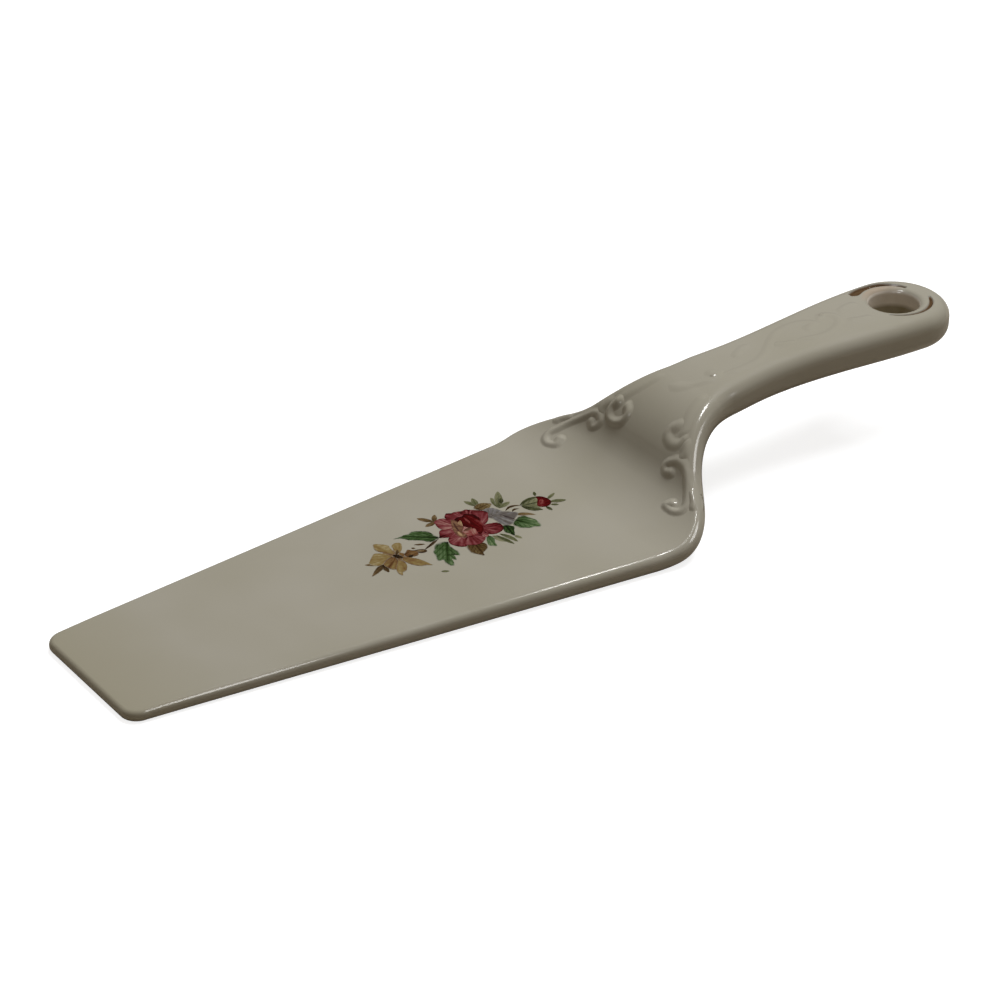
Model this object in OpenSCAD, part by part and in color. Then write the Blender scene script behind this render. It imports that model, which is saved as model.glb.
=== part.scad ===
// Cake server, cast in one piece in ivory porcelain, with moulded scrollwork on
// the shoulders and the grip and a flower transfer fired onto the blade.
// The underside of the blade lies on z = 0. X runs from the front edge to the
// handle's end, and x = 0, y = 0 is the middle of the footprint.

/* [Blade] */
// Length of the blade from its front edge to its widest point
blade_l = 133.8; // [120:0.1:150]
// Width that the straight sides reach where the shoulders start to turn
blade_w = 67; // [60:0.5:76]
// Width of the front edge, measured across its corners
tip_w = 37.4; // [30:0.1:46]
// Corner radius of the front edge, seen from above
tip_corner_r = 4.2; // [3:0.1:8]
// Thickness of the front edge
tip_t = 2.5; // [1.8:0.1:2.8]
// Thickness from which the blade tapers up, once the front slope ends
blade_t = 2.8; // [2.8:0.1:4]
// Thickness at the widest point
heel_t = 4.3; // [3.8:0.1:5.5]
// Length of the sloped zone behind the front edge
front_slope_l = 15; // [10:0.5:20]

/* [Shoulders] */
// How far before the widest point the outline starts to turn
shoulder_lead = 2.2; // [1:0.1:5]
// Distance from the widest point to the middle of the flanks
flank_run = 13.4; // [11:0.1:16]
// Width across the middle of the flanks
flank_w = 50; // [44:0.5:54]
// Angle between the flanks and the long axis
flank_angle = 49; // [40:1:55]
// Distance from the widest point to the neck
neck_run = 36; // [32:0.5:42]
// Width of the neck
neck_w = 20.8; // [19.4:0.1:25]

/* [Handle] */
// Length from the widest point to the handle's end, along the underside
grip_l = 105.9; // [98:0.1:125]
// Narrowest width of the grip
waist_w = 19.2; // [16:0.1:20.6]
// Distance from the neck to the narrowest place
waist_run = 12.6; // [8:0.1:18]
// Diameter of the rounded end
end_d = 25.8; // [24.5:0.1:30]
// Thickness of the front of the grip
grip_t = 8.7; // [7:0.1:11]
// Thickness of the rounded end
end_t = 9; // [7:0.1:11]
// Distance from the widest point to where the wall starts to thicken
thicken_start = 9.6; // [5:0.1:14]
// Distance from the widest point to where the grip has its full thickness
thicken_end = 38.5; // [34:0.1:46]
// Largest edge radius of the grip
grip_edge_r = 3.7; // [2.5:0.1:3.9]

/* [Bend] */
// How far before the widest point the underside leaves the table
bend_lead = 7.8; // [4:0.1:14]
// Radius of the lower bend, on the underside
lift_r = 28.9; // [22:0.1:36]
// Steepest angle of the neck
lift_angle = 48; // [36:1:54]
// Straight stretch between the two bends
ramp_l = 2; // [1:0.1:6]
// Radius of the upper bend, on the underside
crest_r = 16.8; // [13:0.1:22]
// Angle of the grip where it leaves the upper bend
grip_angle = 6; // [2:0.5:9]

/* [Hanging hole] */
// Diameter of the bore
hole_d = 12.2; // [9:0.1:12.8]
// Radius of the rounded rims of the bore
hole_rim_r = 0.9; // [0.6:0.1:1.3]
// Distance from the handle's end to the middle of the bore
hole_inset = 13.6; // [12.8:0.1:14.2]
// Clear land between the rim of the bore and the tails of the stained grooves
groove_land = 0.8; // [0.5:0.1:1]
// How much farther out the far groove's head lies than its tail
far_groove_sweep = 2.2; // [0:0.1:2.4]
// How much farther out the near groove's head lies than its tail
near_groove_sweep = 1; // [0:0.1:2]
// Width of the far groove at its thick end
far_groove_w = 2; // [1.2:0.1:2.3]
// Width of the near groove where it is thickest
near_groove_w = 1.2; // [0.8:0.1:2]
// Depth of a groove
groove_depth = 0.8; // [0.5:0.1:1.5]
// Thickness of the brown stain on a groove's floor
stain_t = 0.25; // [0.1:0.05:0.4]

/* [Moulded scrollwork] */
// Width of a stroke on the shoulders
scroll_w = 2.4; // [1.8:0.1:2.8]
// Height of the shoulder strokes over the wall
scroll_h = 0.7; // [0.5:0.1:1.6]
// Width of a stroke on the grip
trail_w = 2.2; // [1.4:0.1:2.4]
// Height of the strokes on the grip
trail_h = 0.2; // [0.15:0.05:0.8]
// Hair gap under a stroke, which the glaze fills
relief_seat = 0.05; // [0.04:0.01:0.1]

/* [Flower transfer] */
// Length that the spray is drawn to
spray_l = 54; // [44:1:58]
// Distance from the rear tip of the spray to the bend
spray_gap = 1; // [0.5:0.1:6]
// Distance of the rose's middle from the blade's centre line
spray_side = 3.7; // [0:0.1:5]
// Thickness of the fired colour
ink_t = 0.08; // [0.04:0.01:0.2]

/* [Hidden] */

// Colours of the glazed body, the stain and the fired inks
body_colour = "#9b968a";
stain_colour = "#5f4127";
crimson = "#6e1f28";
rose_pink = "#9a4a55";
ochre = "#8f7440";
brown = "#5d4526";
leaf_green = "#33533a";
fern_green = "#5a6244";
lilac = "#8a8792";

// Overrun of every cut past the face that it opens
cut_over = 1;
// Layer that is ground off the underside to make it flat
ground_cut = 0.02;

// Edge radius as a share of the wall
edge_share = 0.46;
// Sides that a round is drawn with in a preview: the bore, its rims and a petal
bore_facets = 64;
rim_facets = 48;
petal_facets = 40;
// Levels in a quarter of a rounded edge
edge_steps = 6;
// Angles of the rings round a front corner and round the handle's end
corner_angles = [0:15:75];
end_angles = [8:9:89];
// Stations along the front slope, the blade, the bend's foot, the neck and the grip
front_steps = 5;
blade_steps = 3;
foot_steps = 8;
neck_steps = 22;
grip_steps = 16;

// Lengths along the underside, from the front edge
end_r = end_d / 2;
spine_l = blade_l + grip_l;
flat_l = blade_l - bend_lead;
neck_end = blade_l + thicken_end;
end_run = spine_l - end_r;
hole_run = spine_l - hole_inset;
thicken_run = thicken_end - thicken_start;
lift_l = lift_r * lift_angle * PI / 180;
crest_l = crest_r * (lift_angle - grip_angle) * PI / 180;
settle_l = spine_l - flat_l - lift_l - ramp_l - crest_l - end_d;

// Stretches of the underside: length, and how far each one turns
stretches = [
    [flat_l, 0], [lift_l, lift_angle], [ramp_l, 0],
    [crest_l, grip_angle - lift_angle], [settle_l, -grip_angle], [end_d, 0]
];

// Cubic between two stations with given half widths and slopes
function ease(s, s0, s1, w0, w1, m0, m1) =
    let (run = s1 - s0, t = (s - s0) / run)
    w0 * (2 * t ^ 3 - 3 * t ^ 2 + 1) + w1 * (3 * t ^ 2 - 2 * t ^ 3)
    + run * (m0 * (t ^ 3 - 2 * t ^ 2 + t) + m1 * (t ^ 3 - t ^ 2));

// Point [x, z] and angle of the underside after a length s
function walk(s, i = 0, x = 0, z = 0, a = 0) =
    let (
        run = stretches[i][0],
        turn = stretches[i][1],
        last = i == len(stretches) - 1,
        d = last ? s : min(s, run),
        b = a + turn * d / run,
        r = turn == 0 ? 0 : run * 180 / (PI * turn),
        nx = x + (turn == 0 ? d * cos(a) : r * (sin(b) - sin(a))),
        nz = z + (turn == 0 ? d * sin(a) : r * (cos(a) - cos(b)))
    )
    last || s <= run ? [nx, nz, b] : walk(s - run, i + 1, nx, nz, b);

foot_mid = walk(spine_l)[0] / 2;

// Wall thickness at a station
function wall(s) =
    let (
        taper = blade_t + (heel_t - blade_t) * min(s, blade_l) / blade_l,
        slope = max(0, 1 - s / front_slope_l),
        rise = min(1, max(0, (s - blade_l - thicken_start) / thicken_run)),
        swell = min(1, max(0, (s - neck_end) / (spine_l - end_d - neck_end)))
    )
    taper - (blade_t - tip_t) * slope ^ 2
    + (grip_t - heel_t) * (3 * rise ^ 2 - 2 * rise ^ 3) + (end_t - grip_t) * swell;

// Half width at a station
function half_w(s) =
    let (
        side = (blade_w - tip_w) / (2 * blade_l),
        turn = blade_l - shoulder_lead,
        flank = blade_l + flank_run,
        neck = blade_l + neck_run,
        waist = neck + waist_run,
        flank_slope = -tan(flank_angle),
        neck_slope = (waist_w - neck_w) / (2 * waist_run)
    )
    s < turn ? tip_w / 2 + side * s
    : s < flank ? ease(s, turn, flank, tip_w / 2 + side * turn, flank_w / 2, side, flank_slope)
    : s < neck ? ease(s, flank, neck, flank_w / 2, neck_w / 2, flank_slope, neck_slope)
    : s < waist ? ease(s, neck, waist, neck_w / 2, waist_w / 2, neck_slope, 0)
    : ease(min(s, end_run), waist, end_run, waist_w / 2, end_r, 0, 0);

// Edge radius at a station
function edge(s) = min(edge_share * wall(s), grip_edge_r);

// Place at height h over the underside, across it by y
function spot(s, y, h) =
    let (p = walk(s))
    [p[0] - sin(p[2]) * h - foot_mid, y, p[1] + cos(p[2]) * h - ground_cut];

// Place at height h over the upper face, rounded edges included
function top_spot(s, y, h) =
    let (
        e = edge(s),
        over = min(e, max(0, abs(y) - half_w(s) + e))
    )
    spot(s, y, wall(s) - e + sqrt(e ^ 2 - over ^ 2) + h);

// Levels down a rounded edge: 1 over the middle or -1 under it, and an angle
levels = concat(
    [for (k = [0:edge_steps]) [1, 90 * k / edge_steps]],
    [for (k = [edge_steps:-1:0]) [-1, 90 * k / edge_steps]]
);
function level_inset(e, level) = e * (1 - sin(level[1]));
function level_height(t, e, level) =
    let (drop = e * (1 - cos(level[1])))
    level[0] > 0 ? t - drop : drop;

// Rings of points: round the front corners, along the sides and round the end
function closed(side) = concat(side, [for (k = [len(side) - 1:-1:0]) [side[k][0], -side[k][1], side[k][2]]]);
function corner_ring(angle) = closed([
    for (level = levels)
        let (
            e = edge_share * tip_t,
            r = tip_corner_r - level_inset(e, level),
            s = tip_corner_r - r * cos(angle),
            y = half_w(tip_corner_r) - tip_corner_r + r * sin(angle)
        )
        spot(s, y, level_height(wall(s), e, level))
]);
function side_ring(s) = closed([
    for (level = levels)
        spot(s, half_w(s) - level_inset(edge(s), level), level_height(wall(s), edge(s), level))
]);
function end_ring(angle) = closed([
    for (level = levels)
        let (r = end_r - level_inset(edge(spine_l), level))
        spot(end_run + r * sin(angle), r * cos(angle), level_height(end_t, edge(spine_l), level))
]);
function steps(s0, s1, count) = [for (k = [1:count]) s0 + (s1 - s0) * k / count];

blade_rings = concat(
    [for (angle = corner_angles) corner_ring(angle)],
    [side_ring(tip_corner_r)],
    [for (s = steps(tip_corner_r, front_slope_l, front_steps)) side_ring(s)],
    [for (s = steps(front_slope_l, flat_l, blade_steps)) side_ring(s)],
    [for (s = steps(flat_l, blade_l, foot_steps)) side_ring(s)]
);
neck_rings = concat([side_ring(blade_l)], [for (s = steps(blade_l, neck_end, neck_steps)) side_ring(s)]);
handle_rings = concat(
    [side_ring(neck_end)],
    [for (s = steps(neck_end, end_run, grip_steps)) side_ring(s)],
    [for (angle = end_angles) end_ring(angle)]
);

// Solid through a row of rings. Each end is closed across its middle plane.
module loft(rings) {
    count = len(rings);
    size = len(rings[0]);
    half = size / 2;
    points = [for (ring = rings) each ring];
    walls = [
        for (i = [0:count - 2], j = [0:size - 1])
            let (a = i * size + j, b = i * size + (j + 1) % size)
            each [[a, b, b + size], [a, b + size, a + size]]
    ];
    ends = [
        for (base = [0, (count - 1) * size], j = [0:half - 2])
            let (a = base + j, b = base + j + 1, c = base + size - 2 - j, d = base + size - 1 - j)
            each base == 0 ? [[a, d, c], [a, c, b]] : [[a, b, c], [a, c, d]]
    ];
    polyhedron(points, concat(walls, ends));
}

// Everything under the table's plane, to grind the underside flat
module under_table() {
    translate([-spine_l, -blade_w, -cut_over])
        cube([2 * spine_l, 2 * blade_w, cut_over]);
}

module blade() {
    color(body_colour)
        difference() {
            loft(blade_rings);
            under_table();
        }
}

module neck() {
    color(body_colour)
        loft(neck_rings);
}

// The rounded end: its underside's height, and the middle of the bore
end_z = walk(spine_l)[1] - ground_cut;
module at_hole(h) {
    translate([walk(hole_run)[0] - foot_mid, 0, end_z + h])
        children();
}

hole_r = hole_d / 2;

// Cutter for the bore, with a rounded rim at each face
module hole_cut() {
    at_hole(-cut_over)
        cylinder(r = hole_r, h = end_t + 2 * cut_over, $fn = bore_facets);
    at_hole(end_t)
        rim_cut();
    at_hole(0)
        mirror([0, 0, 1])
            rim_cut();
}

module rim_cut() {
    rotate_extrude($fn = bore_facets)
        difference() {
            translate([0, -hole_rim_r])
                square([hole_r + hole_rim_r, hole_rim_r + cut_over]);
            translate([hole_r + hole_rim_r, -hole_rim_r])
                circle(r = hole_rim_r, $fn = rim_facets);
        }
}

// Comma-shaped grooves: the angle of each thick head and of each thin tail, and
// the share of each run over which the head comes up to its full width
far_groove_angles = [134, 30];
near_groove_angles = [-20, -138];
far_head_share = 0.12;
near_head_share = 0.3;
// Share of a groove's width at its tail
groove_tail_share = 0.2;
groove_points = 20;

function groove_half(f, width, head_share) =
    let (
        body = 1 - (1 - groove_tail_share) * f,
        head = sqrt(1 - max(0, 1 - f / head_share) ^ 2)
    )
    width / 2 * body * head;

module groove(angles, sweep, width, head_share) {
    tail_r = hole_r + hole_rim_r + groove_land + groove_half(1, width, head_share);
    side = function (sign) [
        for (k = [0:groove_points])
            let (
                f = (k + 0.5) / (groove_points + 0.5),
                a = angles[0] + (angles[1] - angles[0]) * f,
                r = tail_r + sweep * (1 - f) + sign * groove_half(f, width, head_share)
            )
            [r * cos(a), r * sin(a)]
    ];
    outer = side(1);
    inner = side(-1);
    polygon(concat(outer, [for (k = [len(inner) - 1:-1:0]) inner[k]]));
}

module far_groove() {
    groove(far_groove_angles, far_groove_sweep, far_groove_w, far_head_share);
}

module near_groove() {
    groove(near_groove_angles, near_groove_sweep, near_groove_w, near_head_share);
}

module groove_cut() {
    at_hole(end_t - groove_depth)
        linear_extrude(groove_depth + cut_over)
            children();
}

module groove_stain() {
    color(stain_colour)
        at_hole(end_t - groove_depth)
            linear_extrude(stain_t)
                children();
}

module far_groove_stain() {
    groove_stain()
        far_groove();
}

module near_groove_stain() {
    groove_stain()
        near_groove();
}

module handle() {
    color(body_colour)
        difference() {
            loft(handle_rings);
            hole_cut();
            groove_cut()
                far_groove();
            groove_cut()
                near_groove();
        }
}

// Raised strokes. A place is a share of the run from the widest point to the
// neck, or of the grip's length, and a share of the half width there.
near_shoulder_shares = [
    [0.41, 0.59], [0.40, 0.53], [0.43, 0.50], [0.47, 0.56], [0.50, 0.70], [0.50, 0.80],
    [0.48, 0.84], [0.45, 0.84], [0.40, 0.84], [0.35, 0.82], [0.29, 0.81], [0.25, 0.79],
    [0.21, 0.75], [0.19, 0.69], [0.20, 0.63], [0.23, 0.67]
];
far_shoulder_shares = [
    [0.41, 0.68], [0.39, 0.62], [0.41, 0.59], [0.45, 0.62], [0.48, 0.72], [0.47, 0.79],
    [0.43, 0.82], [0.37, 0.82], [0.30, 0.81], [0.23, 0.79], [0.16, 0.78], [0.10, 0.74],
    [0.08, 0.68], [0.11, 0.62], [0.16, 0.65]
];
near_neck_shares = [
    [0.65, 0.55], [0.63, 0.44], [0.59, 0.42], [0.57, 0.49], [0.56, 0.58], [0.58, 0.68], [0.61, 0.74]
];
far_neck_shares = [
    [0.60, 0.68], [0.56, 0.69], [0.52, 0.61], [0.51, 0.48], [0.54, 0.38], [0.58, 0.40], [0.60, 0.49]
];
near_rim_shares = [
    [[0.37, 0.90], [0.33, 0.92], [0.29, 0.91]],
    [[0.53, 0.78], [0.56, 0.82], [0.60, 0.81]]
];
far_rim_shares = [
    [[0.35, 0.90], [0.31, 0.92], [0.27, 0.91]],
    [[0.51, 0.76], [0.54, 0.80], [0.58, 0.79]]
];
near_leaf_shares = [[0.65, 0.68], [0.70, 0.63], [0.77, 0.59], [0.84, 0.56]];
far_leaf_shares = [[0.64, 0.70], [0.69, 0.66], [0.75, 0.62], [0.82, 0.58]];
grip_front_shares = [
    [0.27, 0.21], [0.28, -0.03], [0.31, -0.23], [0.34, -0.32], [0.355, -0.22], [0.345, -0.12]
];
grip_middle_shares = [
    [0.37, -0.33], [0.41, -0.44], [0.45, -0.42], [0.49, -0.19], [0.53, 0.16], [0.57, 0.39],
    [0.62, 0.39], [0.65, 0.20], [0.63, 0.06]
];
grip_rear_shares = [
    [0.58, -0.23], [0.62, -0.38], [0.66, -0.34], [0.70, -0.12], [0.71, 0.16], [0.69, 0.33], [0.67, 0.22]
];
grip_leaf_shares = [
    [[0.73, -0.20], [0.75, -0.26], [0.77, -0.28]],
    [[0.74, 0.26], [0.76, 0.31], [0.785, 0.33]],
    [[0.53, -0.10], [0.54, -0.19], [0.56, -0.24]],
    [[0.43, 0.12], [0.45, 0.25], [0.47, 0.33]]
];

// Sections between two points of a stroke, and shares across a section
path_steps = 3;
crown_shares = [-1, -0.75, -0.4, 0, 0.4, 0.75, 1];
floor_shares = [0.5, 0, -0.5];
// Share of a stroke over which its knobs swell, and the narrowest section's share
knob_share = 0.1;
least_share = 0.2;

// A smooth curve through the points of a path
function bend_through(a, b, c, d, t) =
    (2 * b + (c - a) * t + (2 * a - 5 * b + 4 * c - d) * t ^ 2 + (3 * b - a - 3 * c + d) * t ^ 3) / 2;
function smooth(path) =
    let (last = len(path) - 1)
    concat([
        for (i = [0:last - 1], k = [0:path_steps - 1])
            bend_through(
                path[max(i - 1, 0)], path[i], path[i + 1], path[min(i + 2, last)], k / path_steps
            )
    ], [path[last]]);

// Stroke with a domed section on the upper face. head and tail swell its ends.
module stroke(shares, run, side, width, height, head, tail) {
    path = [
        for (p = smooth(shares))
            let (s = blade_l + p[0] * run)
            [s, side * p[1] * half_w(s)]
    ];
    last = len(path) - 1;
    sections = [
        for (i = [0:last])
            let (
                step = path[min(i + 1, last)] - path[max(i - 1, 0)],
                across = [-step[1], step[0]] / norm(step),
                f = i / last,
                from_end = min(f, 1 - f),
                swell = 1 + ((f < 1 / 2 ? head : tail) - 1) * max(0, 1 - from_end / knob_share),
                close = max(least_share, sqrt(1 - max(0, 1 - from_end * last / path_steps) ^ 2)),
                half = width / 2 * swell * close,
                rise = height * swell * close,
                upper = [
                    for (c = crown_shares)
                        let (p = path[i] + across * half * c)
                        top_spot(p[0], p[1], relief_seat + rise * (1 - c ^ 2))
                ],
                lower = [
                    for (c = floor_shares)
                        let (p = path[i] + across * half * c)
                        top_spot(p[0], p[1], relief_seat)
                ]
            )
            concat(upper, lower)
    ];
    color(body_colour)
        skin(sections);
}

// Solid through the sections of a stroke. Each end is a fan from its crown.
module skin(sections) {
    count = len(sections);
    size = len(sections[0]);
    points = [for (section = sections) each section];
    walls = [
        for (i = [0:count - 2], j = [0:size - 1])
            let (a = i * size + j, b = i * size + (j + 1) % size)
            each [[a, b + size, b], [a, a + size, b + size]]
    ];
    top = floor(len(crown_shares) / 2);
    base = (count - 1) * size;
    fan = [for (j = [1:size - 2]) [top, (top + j) % size, (top + j + 1) % size]];
    fore = fan;
    aft = [for (t = fan) [base + t[0], base + t[2], base + t[1]]];
    polyhedron(points, concat(walls, fore, aft));
}

// How much the ends of a scroll swell into a knob, and a leaf's ends draw in
knob = 1.35;
plain = 1;
leaf_end = 0.45;
// Height of a rim leaf as a share of a scroll's height
rim_leaf_share = 0.5;

module shoulder_scroll(shares, side) {
    stroke(shares, neck_run, side, scroll_w, scroll_h, knob, knob);
}
module neck_scroll(shares, side) {
    stroke(shares, neck_run, side, scroll_w, scroll_h, knob, plain);
}
module rim_leaves(rows, side) {
    for (shares = rows)
        stroke(shares, neck_run, side, trail_w, scroll_h * rim_leaf_share, plain, leaf_end);
}
module neck_leaf(shares, side) {
    stroke(shares, neck_run, side, trail_w, trail_h, plain, leaf_end);
}
module grip_scroll(shares) {
    stroke(shares, grip_l, 1, trail_w, trail_h, leaf_end, knob);
}
module grip_leaves() {
    for (shares = grip_leaf_shares)
        stroke(shares, grip_l, 1, trail_w, trail_h, plain, leaf_end);
}

// The flower transfer. All places and sizes are shares of the spray's length,
// measured from the rose's middle: [x, y, radius] for a round petal, and
// [foot x, foot y, tip x, tip y, width] for a leaf or a pointed petal.
petal_shares = [
    [-0.06, 0.07, 0.06],
    [0.02, 0.08, 0.06],
    [0.09, 0.06, 0.06],
    [-0.09, 0.01, 0.05],
    [-0.08, -0.06, 0.05],
    [-0.01, -0.09, 0.05],
    [0.08, -0.06, 0.05],
    [0.01, 0, 0.09]
];
inner_shares = [
    [0.04, 0.05, 0.04],
    [0.07, 0.01, 0.04],
    [0.03, -0.02, 0.04]
];
violet_shares = [
    [0.15, 0, 0.04],
    [0.20, -0.01, 0.04],
    [0.17, -0.06, 0.04]
];
rosebud_shares = [
    [0.38, 0.01, 0.03],
    [0.39, -0.02, 0.03]
];
stamen_shares = [
    [-0.07, -0.04, 0.01],
    [-0.06, -0.01, 0.01],
    [-0.06, 0.02, 0.01],
    [-0.04, 0.05, 0.01],
    [-0.03, -0.01, 0.01],
    [-0.03, 0.02, 0.01]
];
lily_shares = [
    [-0.36, -0.03, -0.39, 0.11, 0.07],
    [-0.36, -0.03, -0.29, 0.06, 0.06],
    [-0.36, -0.03, -0.28, -0.16, 0.07],
    [-0.36, -0.03, -0.43, -0.16, 0.08],
    [-0.36, -0.03, -0.48, 0.03, 0.08],
    [-0.36, -0.03, -0.27, -0.04, 0.04]
];
lily_bud_shares = [
    [-0.44, -0.06, -0.53, -0.10, 0.03],
    [-0.44, -0.07, -0.46, -0.11, 0.02],
    [-0.45, -0.05, -0.51, -0.01, 0.02]
];
sepal_shares = [
    [0.32, -0.02, 0.39, 0.06, 0.04],
    [0.32, -0.02, 0.36, -0.09, 0.04],
    [0.40, 0, 0.46, 0.01, 0.02],
    [0.40, -0.02, 0.47, -0.05, 0.02],
    [0.38, -0.05, 0.38, -0.09, 0.01],
    [0.30, -0.01, 0.38, -0.01, 0.06]
];
rose_leaf_shares = [
    [-0.14, 0, -0.29, 0.10, 0.09],
    [-0.14, -0.04, -0.24, -0.15, 0.06],
    [-0.14, -0.05, -0.22, -0.22, 0.07],
    [-0.13, -0.06, -0.15, -0.16, 0.05],
    [0.13, -0.07, 0.13, -0.16, 0.06],
    [0.20, -0.07, 0.27, -0.16, 0.08],
    [0.05, -0.11, 0.02, -0.20, 0.06],
    [-0.15, 0.01, -0.23, -0.02, 0.03]
];
fern_shares = [
    [0.14, 0.11, 0.11, 0.18, 0.02],
    [0.14, 0.11, 0.16, 0.19, 0.02],
    [0.21, 0.05, 0.22, 0.14, 0.03],
    [0.21, 0.05, 0.28, 0.16, 0.04],
    [0.21, 0.05, 0.27, 0.08, 0.03]
];
ochre_shares = [
    [0.11, 0.11, 0.21, 0.07, 0.05],
    [-0.04, -0.11, -0.07, -0.22, 0.09]
];
brown_shares = [
    [-0.08, 0.11, -0.13, 0.18, 0.03],
    [-0.09, 0.12, -0.05, 0.16, 0.03],
    [-0.07, 0.11, -0.13, 0.10, 0.03],
    [0.22, -0.02, 0.29, -0.08, 0.03],
    [0.23, 0, 0.26, -0.01, 0.02]
];
stem_shares = [
    [-0.31, -0.04, -0.14, -0.01, 0.02],
    [-0.27, -0.06, -0.20, -0.02, 0.02],
    [-0.29, -0.02, -0.23, 0.01, 0.01],
    [0.20, 0.03, 0.33, 0.03, 0.02]
];
grass_shares = [
    [0.05, -0.12, 0.08, -0.23, 0.02],
    [0.07, -0.12, 0.11, -0.23, 0.01],
    [0.12, -0.14, 0.14, -0.21, 0.01],
    [-0.28, -0.24, -0.25, -0.25, 0.01]
];
lily_heart_shares = [
    [-0.36, -0.03, 0.02], [-0.33, -0.06, 0.01]
];

// Share of the spray's length that lies behind the rose's middle
spray_rear_share = 0.48;
spray_run = flat_l - spray_gap - spray_l * spray_rear_share;
// Points along one side of a leaf, and how far forward its widest place lies
leaf_points = 7;
leaf_lean = 0.8;
// Points round the rose
rosette_points = 72;

// Carries the flat drawing onto the blade's tapered upper face
module on_blade() {
    translate([-foot_mid, 0, blade_t - ground_cut])
        rotate([0, -atan((heel_t - blade_t) / blade_l), 0])
            translate([spray_run, spray_side, 0])
                children();
}

module round_petals(rows) {
    for (row = rows)
        translate([row[0], row[1]] * spray_l)
            circle(r = row[2] * spray_l, $fn = petal_facets);
}

// One outline round overlapping petals, seen from the middle of the last of them
module rosette(rows) {
    heart = [rows[len(rows) - 1][0], rows[len(rows) - 1][1]];
    reach = function (ray) max([
        for (row = rows)
            let (
                to = [row[0], row[1]] - heart,
                along = to * ray,
                off = norm(to) ^ 2 - along ^ 2
            )
            off < row[2] ^ 2 ? along + sqrt(row[2] ^ 2 - off) : 0
    ]);
    polygon([
        for (k = [0:rosette_points - 1])
            let (ray = [cos(360 * k / rosette_points), sin(360 * k / rosette_points)])
            (heart + ray * reach(ray)) * spray_l
    ]);
}

module leaves(rows) {
    for (row = rows) {
        reach = [row[2] - row[0], row[3] - row[1]] * spray_l;
        length = norm(reach);
        half = row[4] * spray_l / 2;
        edge_of = function (t) half * sin(180 * t ^ leaf_lean);
        front = [for (k = [1:leaf_points]) let (t = k / (leaf_points + 1)) [length * t, edge_of(t)]];
        back = [for (k = [leaf_points - 1:-1:0]) [front[k][0], -front[k][1]]];
        translate([row[0], row[1]] * spray_l)
            rotate(atan2(reach[1], reach[0]))
                polygon(concat([[0, 0]], front, [[length, 0]], back));
    }
}

// Drawings in the order in which they lie over each other, uppermost first
module drawing(layer) {
    if (layer == 0) round_petals(stamen_shares);
    if (layer == 1) round_petals(inner_shares);
    if (layer == 2) rosette(petal_shares);
    if (layer == 3) round_petals(rosebud_shares);
    if (layer == 4) round_petals(lily_heart_shares);
    if (layer == 5) leaves(lily_shares);
    if (layer == 6) round_petals(violet_shares);
    if (layer == 7) leaves(sepal_shares);
    if (layer == 8) leaves(ochre_shares);
    if (layer == 9) leaves(rose_leaf_shares);
    if (layer == 10) leaves(lily_bud_shares);
    if (layer == 11) leaves(fern_shares);
    if (layer == 12) leaves(brown_shares);
    if (layer == 13) leaves(stem_shares);
    if (layer == 14) leaves(grass_shares);
}

// One ink: its drawing, less what lies over it
module ink(layer, tone) {
    color(tone)
        on_blade()
            linear_extrude(ink_t)
                difference() {
                    drawing(layer);
                    for (over = [0:1:layer - 1])
                        drawing(over);
                }
}

module rose_stamens() { ink(0, ochre); }
module rose_inner_petals() { ink(1, crimson); }
module rose_petals() { ink(2, rose_pink); }
module rosebud_petals() { ink(3, crimson); }
module lily_heart() { ink(4, brown); }
module lily_petals() { ink(5, ochre); }
module violet_petals() { ink(6, lilac); }
module rosebud_sepals() { ink(7, fern_green); }
module ochre_leaves() { ink(8, ochre); }
module rose_leaves() { ink(9, leaf_green); }
module lily_bud() { ink(10, brown); }
module fern_leaves() { ink(11, fern_green); }
module brown_leaves() { ink(12, brown); }
module flower_stems() { ink(13, brown); }
module grass_strokes() { ink(14, leaf_green); }

blade();
neck();
handle();
far_groove_stain();
near_groove_stain();
shoulder_scroll(near_shoulder_shares, -1);  // near_shoulder_scroll
shoulder_scroll(far_shoulder_shares, 1);  // far_shoulder_scroll
neck_scroll(near_neck_shares, -1);  // near_neck_scroll
neck_scroll(far_neck_shares, 1);  // far_neck_scroll
rim_leaves(near_rim_shares, -1);  // near_rim_leaves
rim_leaves(far_rim_shares, 1);  // far_rim_leaves
neck_leaf(near_leaf_shares, -1);  // near_neck_leaf
neck_leaf(far_leaf_shares, 1);  // far_neck_leaf
grip_scroll(grip_front_shares);  // grip_front_scroll
grip_scroll(grip_middle_shares);  // grip_middle_scroll
grip_scroll(grip_rear_shares);  // grip_rear_scroll
grip_leaves();
rose_stamens();
rose_inner_petals();
rose_petals();
rosebud_petals();
lily_heart();
lily_petals();
violet_petals();
rosebud_sepals();
ochre_leaves();
rose_leaves();
lily_bud();
fern_leaves();
brown_leaves();
flower_stems();
grass_strokes();
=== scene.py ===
"""Cake server in ivory porcelain, dressed on the frame of its CAD model.

One glazed casting: a wide tapered blade, shoulders with moulded scrollwork, a raised grip
with a hanging hole between two stained grooves, and a flower transfer fired onto the blade.
Sizes are in millimetres along the server's underside, and turn to metres as a mesh is made.
"""

import logging
import math
from collections.abc import Callable, Sequence
from dataclasses import dataclass, field
from enum import Enum

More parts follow.
